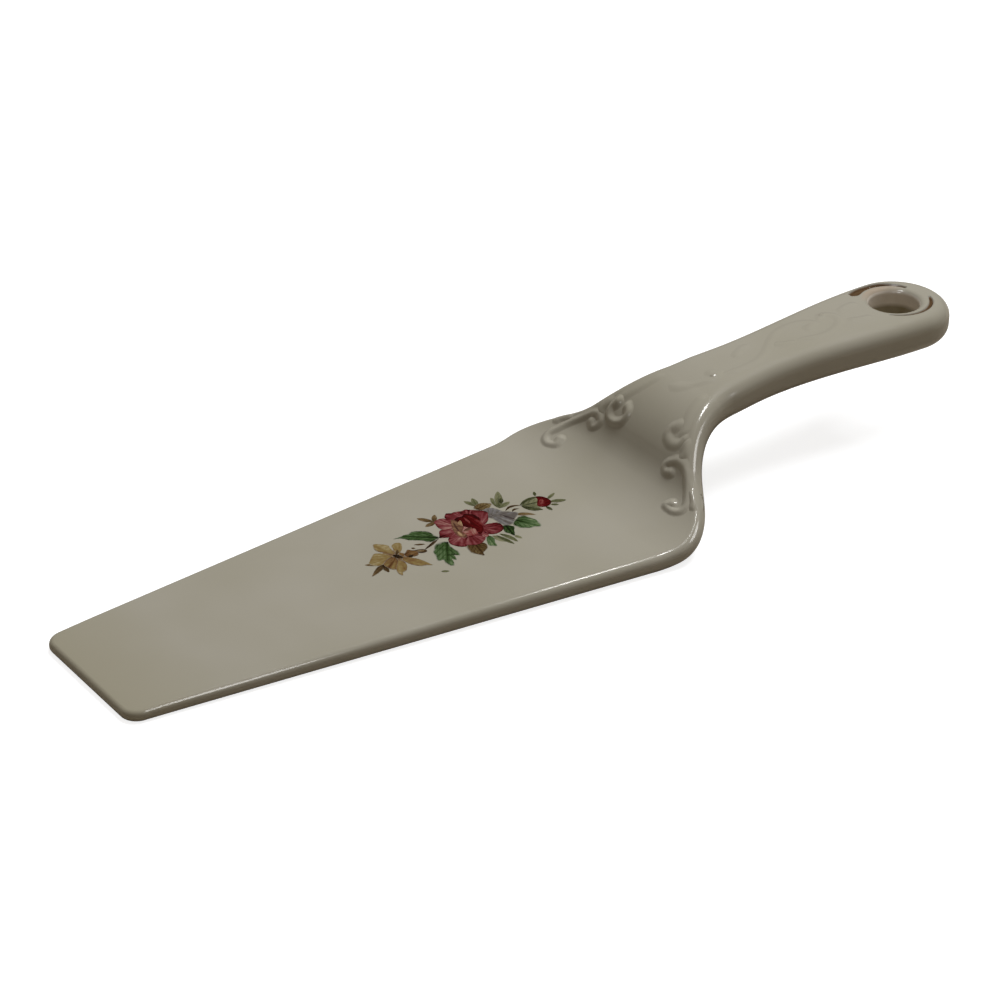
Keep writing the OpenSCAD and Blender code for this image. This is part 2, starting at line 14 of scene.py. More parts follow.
import bmesh
import bpy
import numpy as np
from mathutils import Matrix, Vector


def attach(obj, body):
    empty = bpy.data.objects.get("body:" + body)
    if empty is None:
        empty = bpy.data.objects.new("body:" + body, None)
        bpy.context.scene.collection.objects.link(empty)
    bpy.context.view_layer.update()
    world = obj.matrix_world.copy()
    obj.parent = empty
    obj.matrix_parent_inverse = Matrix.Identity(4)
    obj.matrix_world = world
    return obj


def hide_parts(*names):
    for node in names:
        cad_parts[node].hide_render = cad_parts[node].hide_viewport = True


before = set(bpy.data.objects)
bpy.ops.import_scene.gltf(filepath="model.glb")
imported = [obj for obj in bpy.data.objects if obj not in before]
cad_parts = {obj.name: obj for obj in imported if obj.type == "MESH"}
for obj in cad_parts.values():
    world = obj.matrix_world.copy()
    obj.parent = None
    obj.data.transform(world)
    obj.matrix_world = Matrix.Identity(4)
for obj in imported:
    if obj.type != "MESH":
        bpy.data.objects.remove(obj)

Array = np.ndarray
Values = dict[str, Array]
Pair = tuple[float, float]
Point = tuple[float, float, float]
Socket = bpy.types.NodeSocket
Piece = bpy.types.Object

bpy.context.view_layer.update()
MM = 0.001
# Points nearer than this are one, and edges shorter than the second go, both in metres
WELD, SLIVER = 0.4e-6, 0.2e-6
# Refractive index of a clear glaze
GLAZE_IOR = 1.5
LOG = logging.getLogger("cake_server")


# The form: the same lines that the solids follow


def ease(s: Array, ends: Sequence[float], halves: Sequence[float], slopes: Sequence[float]) -> Array:
    """Cubic between two stations.

    Args:
        s: stations along the underside.
        ends: first and last station.
        halves: half width at each of them.
        slopes: slope at each of them.

    Returns:
        The half width at every station.
    """
    run = ends[1] - ends[0]
    t = (s - ends[0]) / run
    level = halves[0] * (2 * t**3 - 3 * t**2 + 1) + halves[1] * (3 * t**2 - 2 * t**3)
    return level + run * (slopes[0] * (t**3 - 2 * t**2 + t) + slopes[1] * (t**3 - t**2))


def smoothstep(t: Array) -> Array:
    """Soft step from 0 to 1 as t goes from 0 to 1."""
    t = np.clip(t, 0.0, 1.0)
    return t * t * (3.0 - 2.0 * t)


@dataclass(frozen=True)
class Spine:
    """The underside's line, seen from the side, as straight and curved stretches."""

    length: float = 239.7
    flat: float = 126.0
    lift_r: float = 28.9
    lift_angle: float = 48.0
    ramp: float = 2.0
    crest_r: float = 16.8
    grip_angle: float = 6.0
    level: float = 25.8

    def stretches(self) -> list[Pair]:
        """Lists the stretches from the front edge on.

        Returns:
            Length and turn in degrees of each.
        """
        lift = self.lift_r * math.radians(self.lift_angle)
        crest = self.crest_r * math.radians(self.lift_angle - self.grip_angle)
        settle = self.length - self.flat - lift - self.ramp - crest - self.level
        return [
            (self.flat, 0.0),
            (lift, self.lift_angle),
            (self.ramp, 0.0),
            (crest, self.grip_angle - self.lift_angle),
            (settle, -self.grip_angle),
            (self.level, 0.0),
        ]

    def walk(self, s: Array) -> tuple[Array, Array, Array]:
        """Follows the underside.

        Args:
            s: stations along it.

        Returns:
            x, z and the slope angle in radians at every station.
        """
        s = np.asarray(s, float)
        x, z, angle = np.zeros_like(s), np.zeros_like(s), np.zeros_like(s)
        start, heading = 0.0, 0.0
        rows = self.stretches()
        for i, (run, turn) in enumerate(rows):
            top = np.inf if i == len(rows) - 1 else run
            d = np.clip(s - start, 0.0, top)
            bend = math.radians(turn)
            if turn:
                r = run / bend
                x += r * (np.sin(heading + bend * d / run) - math.sin(heading))
                z += r * (math.cos(heading) - np.cos(heading + bend * d / run))
                angle += bend * d / run
            else:
                x += d * math.cos(heading)
                z += d * math.sin(heading)
            start += run
            heading += bend
        return x, z, angle


@dataclass(frozen=True)
class ServerForm:
    """Outline, wall and edges of the casting, laid along its spine."""

    spine: Spine = Spine()
    blade_l: float = 133.8
    blade_w: float = 67.0
    tip_w: float = 37.4
    tip_corner_r: float = 4.2
    tip_t: float = 2.5
    blade_t: float = 2.8
    heel_t: float = 4.3
    front_slope: float = 15.0
    shoulder_lead: float = 2.2
    flank_run: float = 13.4
    flank_w: float = 50.0
    flank_angle: float = 49.0
    neck_run: float = 36.0
    neck_w: float = 20.8
    waist_w: float = 19.2
    waist_run: float = 12.6
    end_r: float = 12.9
    grip_t: float = 8.7
    end_t: float = 9.0
    thicken_start: float = 9.6
    thicken_end: float = 38.5
    grip_edge_r: float = 3.7
    edge_share: float = 0.46
    ground: float = 0.02
    hole_r: float = 6.1
    hole_rim_r: float = 0.9
    hole_inset: float = 13.6
    # Glaze softens the bore's upper rim: how far out and how deep
    soft_reach: float = 1.7
    soft_depth: float = 1.3

    @property
    def middle(self) -> float:
        """Distance from the front edge to the middle of the footprint."""
        return float(self.spine.walk(np.array(self.spine.length))[0]) / 2

    @property
    def neck_end(self) -> float:
        """Station at which the neck gives way to the grip."""
        return self.blade_l + self.thicken_end

    @property
    def end_run(self) -> float:
        """Station of the rounded end's middle."""
        return self.spine.length - self.end_r

    @property
    def hole_run(self) -> float:
        """Station of the bore's middle."""
        return self.spine.length - self.hole_inset

    def half(self, s: Array) -> Array:
        """Finds how wide the server is.

        Args:
            s: stations along the underside.

        Returns:
            The half width at every station.
        """
        s = np.asarray(s, float)
        side = (self.blade_w - self.tip_w) / (2 * self.blade_l)
        turn, flank = self.blade_l - self.shoulder_lead, self.blade_l + self.flank_run
        neck = self.blade_l + self.neck_run
        waist = neck + self.waist_run
        at_turn = self.tip_w / 2 + side * turn
        flank_slope = -math.tan(math.radians(self.flank_angle))
        neck_slope = (self.waist_w - self.neck_w) / (2 * self.waist_run)
        flank_half, neck_half, waist_half = self.flank_w / 2, self.neck_w / 2, self.waist_w / 2
        return np.select(
            [s < turn, s < flank, s < neck, s < waist],
            [
                self.tip_w / 2 + side * s,
                ease(s, (turn, flank), (at_turn, flank_half), (side, flank_slope)),
                ease(s, (flank, neck), (flank_half, neck_half), (flank_slope, neck_slope)),
                ease(s, (neck, waist), (neck_half, waist_half), (neck_slope, 0.0)),
            ],
            ease(np.minimum(s, self.end_run), (waist, self.end_run), (waist_half, self.end_r), (0.0, 0.0)),
        )

    def wall(self, s: Array) -> Array:
        """Finds how thick the server is.

        Args:
            s: stations along the underside.

        Returns:
            The thickness at every station.
        """
        s = np.asarray(s, float)
        taper = self.blade_t + (self.heel_t - self.blade_t) * np.minimum(s, self.blade_l) / self.blade_l
        slope = np.clip(1 - s / self.front_slope, 0, None)
        rise = (s - self.blade_l - self.thicken_start) / (self.thicken_end - self.thicken_start)
        swell = (s - self.neck_end) / (self.spine.length - 2 * self.end_r - self.neck_end)
        grown = (self.grip_t - self.heel_t) * smoothstep(rise)
        return (
            taper
            - (self.blade_t - self.tip_t) * slope**2
            + grown
            + (self.end_t - self.grip_t) * np.clip(swell, 0, 1)
        )

    def edge(self, s: Array) -> Array:
        """Edge radius at every station."""
        return np.minimum(self.edge_share * self.wall(s), self.grip_edge_r)

    def spot(self, s: Array, y: Array, h: Array) -> Array:
        """Places in the part's frame.

        Args:
            s: stations along the underside.
            y: distances from the middle line.
            h: heights over the underside.

        Returns:
            Points in metres, with x, y and z along the last axis.
        """
        s, y, h = np.broadcast_arrays(np.asarray(s, float), y, h)
        x, z, angle = self.spine.walk(s)
        place = np.stack([x - np.sin(angle) * h - self.middle, y, z + np.cos(angle) * h], -1)
        place[..., 2] = np.maximum(place[..., 2] - self.ground, 0.0)
        return place * MM

    def top(self, s: Array, y: Array, h: Array | float = 0.0) -> Array:
        """Finds places over the upper face, its rounded edges included.

        Args:
            s: stations along the underside.
            y: distances from the middle line.
            h: heights over the face.

        Returns:
            The places, as spot() gives them.
        """
        e = self.edge(s)
        over = np.clip(np.abs(y) - self.half(s) + e, 0.0, e)
        return self.spot(s, y, self.wall(s) - e + np.sqrt(e**2 - over**2) + h)

    def rim_drop(self, s: Array, y: Array) -> Array:
        """Finds how far the bore's soft upper rim lies under the flat of the face.

        Args:
            s: stations along the underside.
            y: distances from the middle line.

        Returns:
            The drop at every place, 0 off the rim.
        """
        away = np.hypot(s - self.hole_run, y) - self.hole_r
        share = np.clip(1 - away / self.soft_reach, 0, 1)
        return self.soft_depth * (1 - np.sqrt(1 - share**2))

    def plan(self, u: float, v: float, run: float) -> Pair:
        """A place on the upper face: a share of a run past the widest point, and of the half width."""
        s = self.blade_l + u * run
        return s, v * float(self.half(np.array(s)))


# Meshes


def quads(index: Array) -> Array:
    """Corner numbers of the quads between the rows and columns of a grid of point numbers."""
    return np.stack([index[:-1, :-1], index[1:, :-1], index[1:, 1:], index[:-1, 1:]], -1)


def rims(faces: Sequence[Sequence[int]]) -> list[list[int]]:
    """Finds the open rims of a surface.

    Args:
        faces: corner numbers of each face.

    Returns:
        The corners of each rim, in the order in which a closing face takes them.
    """
    used = {(a, b) for f in faces for a, b in zip(f, f[1:] + f[:1], strict=True)}
    onward = {b: a for a, b in used if (b, a) not in used}
    loops = []
    while onward:
        first = next(iter(onward))
        loop, here = [first], onward.pop(first)
        while here != first:
            loop.append(here)
            here = onward.pop(here)
        loops.append(loop)
    return loops


def slab(top: list[list[int]], count: int) -> list[list[int]]:
    """Closes a surface with a copy of it below.

    Args:
        top: corner numbers of each face of the surface.
        count: how much higher the numbers of the copy's points are.

    Returns:
        The surface's faces, then the copy's, then the walls between their rims.
    """
    bottom = [[i + count for i in reversed(face)] for face in top]
    walls = [
        [a, b, b + count, a + count]
        for loop in rims(top)
        for a, b in zip(loop, loop[1:] + loop[:1], strict=True)
    ]
    return top + bottom + walls


def newell(points: Sequence[Vector]) -> Vector:
    """Finds the normal of a nearly flat loop.

    Args:
        points: the loop's points in order.

    Returns:
        Its normal, of length 1.
    """
    total = Vector((0.0, 0.0, 0.0))
    for a, b in zip(points, list(points[1:]) + [points[0]], strict=True):
        total += a.cross(b)
    return total.normalized()


def spline(a: Array, b: Array, c: Array, d: Array, t: Array | float) -> Array:
    """A smooth curve through four places, at shares t of the way from the second to the third."""
    curve = 2 * b + (c - a) * t + (2 * a - 5 * b + 4 * c - d) * t**2
    return (curve + (3 * b - a - 3 * c + d) * t**3) / 2


@dataclass
class Skin:
    """Points and faces that grow grid by grid, each face with the number of its part."""

    points: list[Array] = field(default_factory=list)
    faces: list[Array] = field(default_factory=list)
    parts: list[int] = field(default_factory=list)
    count: int = 0

    def grid(self, places: Array, part: int = 0, closed: bool = False) -> None:
        """Adds a sheet of quads.

        Args:
            places: points in rows and columns.
            part: number kept with its faces.
            closed: whether the last column joins the first.
        """
        rows, columns = places.shape[:2]
        index = np.arange(rows * columns).reshape(rows, columns) + self.count
        if closed:
            index = np.hstack([index, index[:, :1]])
        sheet = quads(index).reshape(-1, 4)
        self.points.append(places.reshape(-1, 3))
        self.faces.append(sheet)
        self.parts += [part] * len(sheet)
        self.count += rows * columns

    def welded(self) -> bmesh.types.BMesh:
        """Joins the grids where they meet, and turns every face outwards.

        Returns:
            The whole surface.
        """
        work = bmesh.new()
        corners = [work.verts.new(p) for p in np.vstack(self.points)]
        for quad, part in zip(np.vstack(self.faces).tolist(), self.parts, strict=True):
            face = work.faces.new([corners[i] for i in quad])
            face.material_index = part
            face.smooth = True
        bmesh.ops.remove_doubles(work, verts=work.verts, dist=WELD)
        bmesh.ops.dissolve_degenerate(work, edges=work.edges, dist=SLIVER)
        bmesh.ops.recalc_face_normals(work, faces=work.faces)
        work.normal_update()
        return work


def make_piece(
    name: str,
    points: Sequence[Sequence[float]],
    faces: Sequence[Sequence[int]],
    normals: Sequence[Sequence[Sequence[float]]] | None,
    material: bpy.types.Material,
    values: Values | None = None,
) -> Piece:
    """Makes an object from points and faces.

    Args:
        name: the piece's name.
        points: corners in metres.
        faces: corner numbers of each face.
        normals: one shading normal per corner of each face, or None.
        material: its finish.
        values: numbers kept per point for the finish to read.

    Returns:
        The new object, linked to the scene.
    """
    mesh = bpy.data.meshes.new(name)
    mesh.from_pydata([tuple(p) for p in points], [], [tuple(f) for f in faces])
    mesh.polygons.foreach_set("use_smooth", [True] * len(mesh.polygons))
    for key, numbers in (values or {}).items():
        layer = mesh.attributes.new(key, "FLOAT", "POINT")
        layer.data.foreach_set("value", np.asarray(numbers, np.float32).ravel())
    mesh.materials.append(material)
    mesh.update()
    if normals is not None:
        mesh.normals_split_custom_set([tuple(n) for face in normals for n in face])
    piece = bpy.data.objects.new(name, mesh)
    bpy.context.scene.collection.objects.link(piece)
    return piece


def settle(piece: Piece, slot: str, *nodes: str) -> Piece:
    """Rides a piece on the server.

    Args:
        piece: the piece.
        slot: not used.
        *nodes: the nodes that it stands for.

    Returns:
        The same piece.
    """
    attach(piece, "root")
    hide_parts(*nodes)
    return piece


# Finishes


def linear(code: str) -> tuple[float, float, float, float]:
    """Turns an sRGB hex colour to linear red, green, blue and alpha."""
    shares = [int(code[i : i + 2], 16) / 255 for i in (1, 3, 5)]
    return (*(c / 12.92 if c <= 0.04045 else ((c + 0.055) / 1.055) ** 2.4 for c in shares), 1.0)


class Graph:
    """A material's nodes, added one by one."""

    def __init__(self, name: str) -> None:
        """Starts an empty material.

        Args:
            name: the material's name.
        """
        self.material = bpy.data.materials.new(name)
        self.material.use_nodes = True
        self.nodes = self.material.node_tree.nodes
        self.links = self.material.node_tree.links
        self.nodes.clear()

    def add(self, kind: str, settings: dict[str, object] | None = None, **inputs: object) -> bpy.types.Node:
        """Adds a node.

        Args:
            kind: the node's type, without its ShaderNode prefix.
            settings: properties of the node itself.
            **inputs: socket name, with spaces as underscores, or in_ and a number: a value or a socket.

        Returns:
            The new node.
        """
        node = self.nodes.new("ShaderNode" + kind)
        for key, value in (settings or {}).items():
            setattr(node, key, value)
        for key, value in inputs.items():
            at = int(key[3:]) if key.startswith("in_") else key.replace("_", " ")
            if isinstance(value, Socket):
                self.links.new(value, node.inputs[at])
            else:
                node.inputs[at].default_value = value
        return node

    def place(self) -> Socket:
        """Places on the piece, in metres."""
        return self.add("TexCoord").outputs["Object"]

    def number(self, name: str) -> Socket:
        """The number that the piece keeps under that name at each point."""
        return self.add("Attribute", {"attribute_name": name}).outputs["Fac"]

    def noise(self, place: Socket, width_mm: float, detail: float) -> Socket:
        """Cloudy noise, with clouds about that many millimetres wide."""
        return self.add("TexNoise", Vector=place, Scale=1000 / width_mm, Detail=detail).outputs["Fac"]

    def math(self, operation: str, *values: Socket | float) -> Socket:
        """The result of an operation on up to three numbers."""
        inputs = {f"in_{i}": value for i, value in enumerate(values)}
        return self.add("Math", {"operation": operation}, **inputs).outputs["Value"]

    def spread(self, value: Socket, low: float, high: float, first: float = 0.0, last: float = 1.0) -> Socket:
        """A number's range from low to high, spread from first to last."""
        ends = {"From_Min": low, "From_Max": high, "To_Min": first, "To_Max": last}
        return self.add("MapRange", Value=value, **ends).outputs["Result"]

    def mix(self, share: Socket, below: Socket, over: Socket | Sequence[float]) -> Socket:
        """A colour laid over another one by a share."""
        return self.add("Mix", {"data_type": "RGBA"}, in_0=share, in_6=below, in_7=over).outputs[2]

    def ramp(self, level: Socket, stops: Sequence[tuple[float, str]]) -> Socket:
        """Finds the colour at a level on a row of colours.

        Args:
            level: the level, from 0 to 1.
            stops: rising levels, each with its hex colour.

        Returns:
            The colour.
        """
        node = self.add("ValToRGB", Fac=level)
        ramp = node.color_ramp
        while len(ramp.elements) > 1:
            ramp.elements.remove(ramp.elements[-1])
        ramp.elements[0].position, ramp.elements[0].color = stops[0][0], linear(stops[0][1])
        for place, code in stops[1:]:
            ramp.elements.new(place).color = linear(code)
        return node.outputs["Color"]

    def coat(self, colour: Socket, roughness: float, ior: float, **more: object) -> bpy.types.Material:
        """Ends the nodes in a glassy coat.

        Args:
            colour: its colour.
            roughness: how far it blurs what it mirrors.
            ior: its refractive index.
            **more: its other inputs.

        Returns:
            The finished material.
        """
        shader = self.add("BsdfPrincipled", Base_Color=colour, Roughness=roughness, IOR=ior, **more)
        self.add("OutputMaterial", Surface=shader.outputs["BSDF"])
        return self.material


@dataclass(frozen=True)
class GlazedPorcelain:
    """Slip-cast ivory porcelain under a clear feldspar glaze, glossy and a little uneven."""

    name: str = "glazed_ivory_porcelain"
    body: str = "#a19b8d"
    # Where the glaze lies thinner, and a darker, yellower tone towards the front edge
    thin: str = "#9c9686"
    front_tone: str = "#98917d"
    # Painted shade low on the bore's wall and painted light above it, and the stain's tint on the land beside
    # the bore
    stained: str = "#8f8468"
    bore_painted_light: str = "#d8cfc2"
    tinted: str = "#ad9179"
    # Widths of the glaze's clouds, of its slow waves and of its fine unevenness
    cloud_mm: float = 26.0
    wave_mm: float = 9.0
    grain_mm: float = 0.8
    # Strength and depth in metres of the waves and of the unevenness
    wave: Pair = (0.10, 0.0004)
    grain: Pair = (0.05, 0.00004)
    roughness: float = 0.16
    # Places in metres: where the darker, yellower front tone starts and where it is full along x, and its
    # share there
    front_tone_run: Pair = (-0.094, -0.116)
    front_tone_share: float = 0.8
    # The bore's middle, and how far from it the painted light and shade on its wall fade out, and between
    # which heights
    bore: Point = (0.1037, 0.0, 0.0)
    bore_paint_reach: Pair = (0.0065, 0.0061)
    bore_paint_height: Pair = (0.0233, 0.0245)
    # Where the tint starts towards the far side, where it ends round the bore, and its share
    tint_side: Pair = (0.0035, 0.007)
    tint_reach: Pair = (0.0081, 0.0075)
    tint_share: float = 0.45

    def build(self) -> bpy.types.Material:
        """Builds the finish. The slow waves make its highlights wander, as poured glaze does.

        Returns:
            The porcelain's material.
        """
        g = Graph(self.name)
        place = g.place()
        axes = g.add("SeparateXYZ", Vector=place).outputs
        colour = g.ramp(g.noise(place, self.cloud_mm, 2.0), ((0.3, self.thin), (0.7, self.body)))
        # The colour turns a little darker and yellower towards the front edge
        front_tone_amount = g.spread(axes["X"], *self.front_tone_run, 0.0, self.front_tone_share)
        colour = g.mix(front_tone_amount, colour, linear(self.front_tone))
        # The far groove's stain was wiped towards the bore and tints the land between them
        flat = g.add("VectorMath", {"operation": "MULTIPLY"}, in_0=place, in_1=(1.0, 1.0, 0.0))
        away = g.add("VectorMath", {"operation": "DISTANCE"}, in_0=flat.outputs["Vector"], in_1=self.bore)
        reach = away.outputs["Value"]
        land = g.spread(reach, *self.tint_reach, 0.0, self.tint_share)
        bled = g.math("MULTIPLY", g.spread(axes["Y"], *self.tint_side), land)
        colour = g.mix(bled, colour, linear(self.tinted))
        # Painted light and shade on the bore's wall: lighter high up, darker and browner low down
        level = g.spread(axes["Z"], *self.bore_paint_height)
        bore_light_and_shade = g.ramp(level, ((0.0, self.stained), (1.0, self.bore_painted_light)))
        colour = g.mix(g.spread(reach, *self.bore_paint_reach), colour, bore_light_and_shade)
        slope = {}
        for width, (strength, depth) in ((self.wave_mm, self.wave), (self.grain_mm, self.grain)):
            height = g.noise(place, width, 1.0)
            bump = g.add("Bump", Strength=strength, Distance=depth, Height=height, **slope)
            slope = {"Normal": bump.outputs["Normal"]}
        return g.coat(colour, self.roughness, GLAZE_IOR, **slope)


@dataclass(frozen=True)
class FiredStain:
    """Iron-brown stain brushed into a groove and wiped off its rims, under the glaze."""

    name: str = "fired_brown_stain"
    deep: str = "#58422b"
    wiped: str = "#86705a"
    clear: str = "#9b968a"
    roughness: float = 0.2
    # Width of the brush's marks, and how far they shift the depth that the colour follows
    brush_mm: float = 1.6
    uneven: float = 0.22

    def build(self) -> bpy.types.Material:
        """Builds the finish. It is darkest where it pooled and fades out at the groove's rims.

        Returns:
            The stain's material.
        """
        g = Graph(self.name)
        brushed = g.spread(g.noise(g.place(), self.brush_mm, 2.0), 0.0, 1.0, -self.uneven, self.uneven)
        level = g.math("ADD", g.number("fill"), brushed)
        colour = g.ramp(level, ((0.25, self.clear), (0.5, self.wiped), (0.85, self.deep)))
        return g.coat(colour, self.roughness, GLAZE_IOR)


class Drawing(Enum):
    """How a motif of the transfer is drawn."""

    PETAL = "petal"
    LEAF = "leaf"
    STROKE = "stroke"


@dataclass(frozen=True)
class TransferInk:
    """On-glaze enamel of a flower transfer: fine printed strokes that fire to a soft gloss."""

    name: str
    # Its shades from the darkest to the palest
    shades: tuple[tuple[float, str], ...]
    drawing: Drawing = Drawing.PETAL
    # How far streaks, the outline and the printed dots shift the shade
    streaks: float = 0.3
    outline: float = 0.2
    dots: float = 0.13
    # How far the colour thins out to bare glaze at a motif's rim
    feather: float = 0.0
    bare: str = "#9b968a"
    # How far the mottle cuts into the rim, and where the rim starts to wear off and is worn
    ragged: float = -0.3
    worn: Pair = (-0.04, -0.16)
    dot_mm: float = 0.9
    # The share of the way in from a motif's rim that its outline takes
    outline_share: float = 0.22
    # Streaks across and along a motif, and veins on each half of a leaf and how they slant
    fan: Point = (6.0, 1.1, 1.0)
    vein_turns: float = 30.0
    vein_slant: float = -0.5
    vein_shade: float = -0.22
    rib_share: float = 0.2
    rib_shade: float = -0.35
    # An enamel fires less glassy than the glaze under it
    ior: float = 1.38
    roughness: float = 0.22

    def build(self) -> bpy.types.Material:
        """Builds the finish. A motif's shade shifts with printed dots, streaks, veins and its outline.

        Returns:
            The enamel's material.
        """
        g = Graph(self.name)
        total, rim = g.number("shade"), g.number("rim")
        mottle = g.noise(g.place(), self.dot_mm, 2.0)
        dots = g.spread(mottle, 0.25, 0.75, -self.dots, self.dots)
        edge = g.spread(rim, self.outline_share, 0.0, 0.0, -self.outline)
        for part in (dots, edge, self.marks(g)):
            total = g.math("ADD", total, part)
        colour = g.ramp(total, self.shades)
        if self.feather:
            # The dots leave the rim ragged, because the mottle cuts into it
            ragged = g.math("MULTIPLY_ADD", mottle, self.ragged, rim)
            worn = g.math("MULTIPLY", g.spread(ragged, *self.worn), self.feather)
            colour = g.mix(worn, colour, linear(self.bare))
        return g.coat(colour, self.roughness, self.ior)

    def marks(self, g: Graph) -> Socket:
        """Draws the streaks or veins.

        Args:
            g: the enamel's nodes.

        Returns:
            How far they shift the shade at a place, down for dark ones.
        """
        along, across, seed = (g.number(name) for name in ("along", "across", "seed"))
        fan = g.add("CombineXYZ", X=across, Y=along, Z=seed).outputs["Vector"]
        drawn = g.add("VectorMath", {"operation": "MULTIPLY"}, in_0=fan, in_1=self.fan).outputs["Vector"]
        streak = g.add("TexNoise", Vector=drawn, Scale=1.0, Detail=2.0).outputs["Fac"]
        shift = g.spread(streak, 0.3, 0.7, -self.streaks, self.streaks)
        if self.drawing is not Drawing.LEAF:
            return shift
        out = g.math("ABSOLUTE", across)
        slant = g.math("MULTIPLY_ADD", out, self.vein_slant, along)
        wave = g.math("SINE", g.math("MULTIPLY", slant, self.vein_turns))
        veins = g.spread(wave, 0.3, 1.0, 0.0, self.vein_shade)
        rib = g.spread(out, self.rib_share, 0.0, 0.0, self.rib_shade)
        return g.math("ADD", g.math("MINIMUM", veins, rib), shift)


# The casting


@dataclass(frozen=True)
class Groove:
    """A comma-shaped groove beside the bore: its head and tail angles, in degrees."""

    head: float
    tail: float
    # How much farther out its head lies than its tail, and where it is widest
    sweep: float
    head_share: float
    tail_radius: float = 8.0
    width: float = 2.0
    depth: float = 0.8
    tail_share: float = 0.2
    # Glaze rounds the groove's walls over about this many millimetres, and they are this deep at its outline
    soft: float = 0.5
    lip: float = 0.4

    def fill(self, s: Array, y: Array, hole_run: float) -> Array:
        """How deep the groove is at places on the rounded end.

        Args:
            s: stations along the underside.
            y: distances from the middle line.
            hole_run: station of the bore's middle.

        Returns:
            Shares of the groove's full depth.
        """
        out = np.hypot(s - hole_run, y)
        way = (self.tail - self.head) / abs(self.tail - self.head)
        angle = np.degrees(np.arctan2(y, s - hole_run))
        turned = ((angle - self.head) * way + 90) % 360 - 90
        f = turned / abs(self.tail - self.head)
        inside = np.clip(f, 0.0, 1.0)
        radius = self.tail_radius + self.sweep * (1 - inside)
        beyond = np.abs(f - inside) * abs(self.tail - self.head) * np.radians(1.0) * radius
        body = 1 - (1 - self.tail_share) * inside
        head = np.sqrt(1 - np.clip(1 - inside / self.head_share, 0, 1) ** 2)
        half = self.width / 2 * body * head
        off = np.hypot(out - radius, beyond)
        return smoothstep((half - off) / self.soft + self.lip)


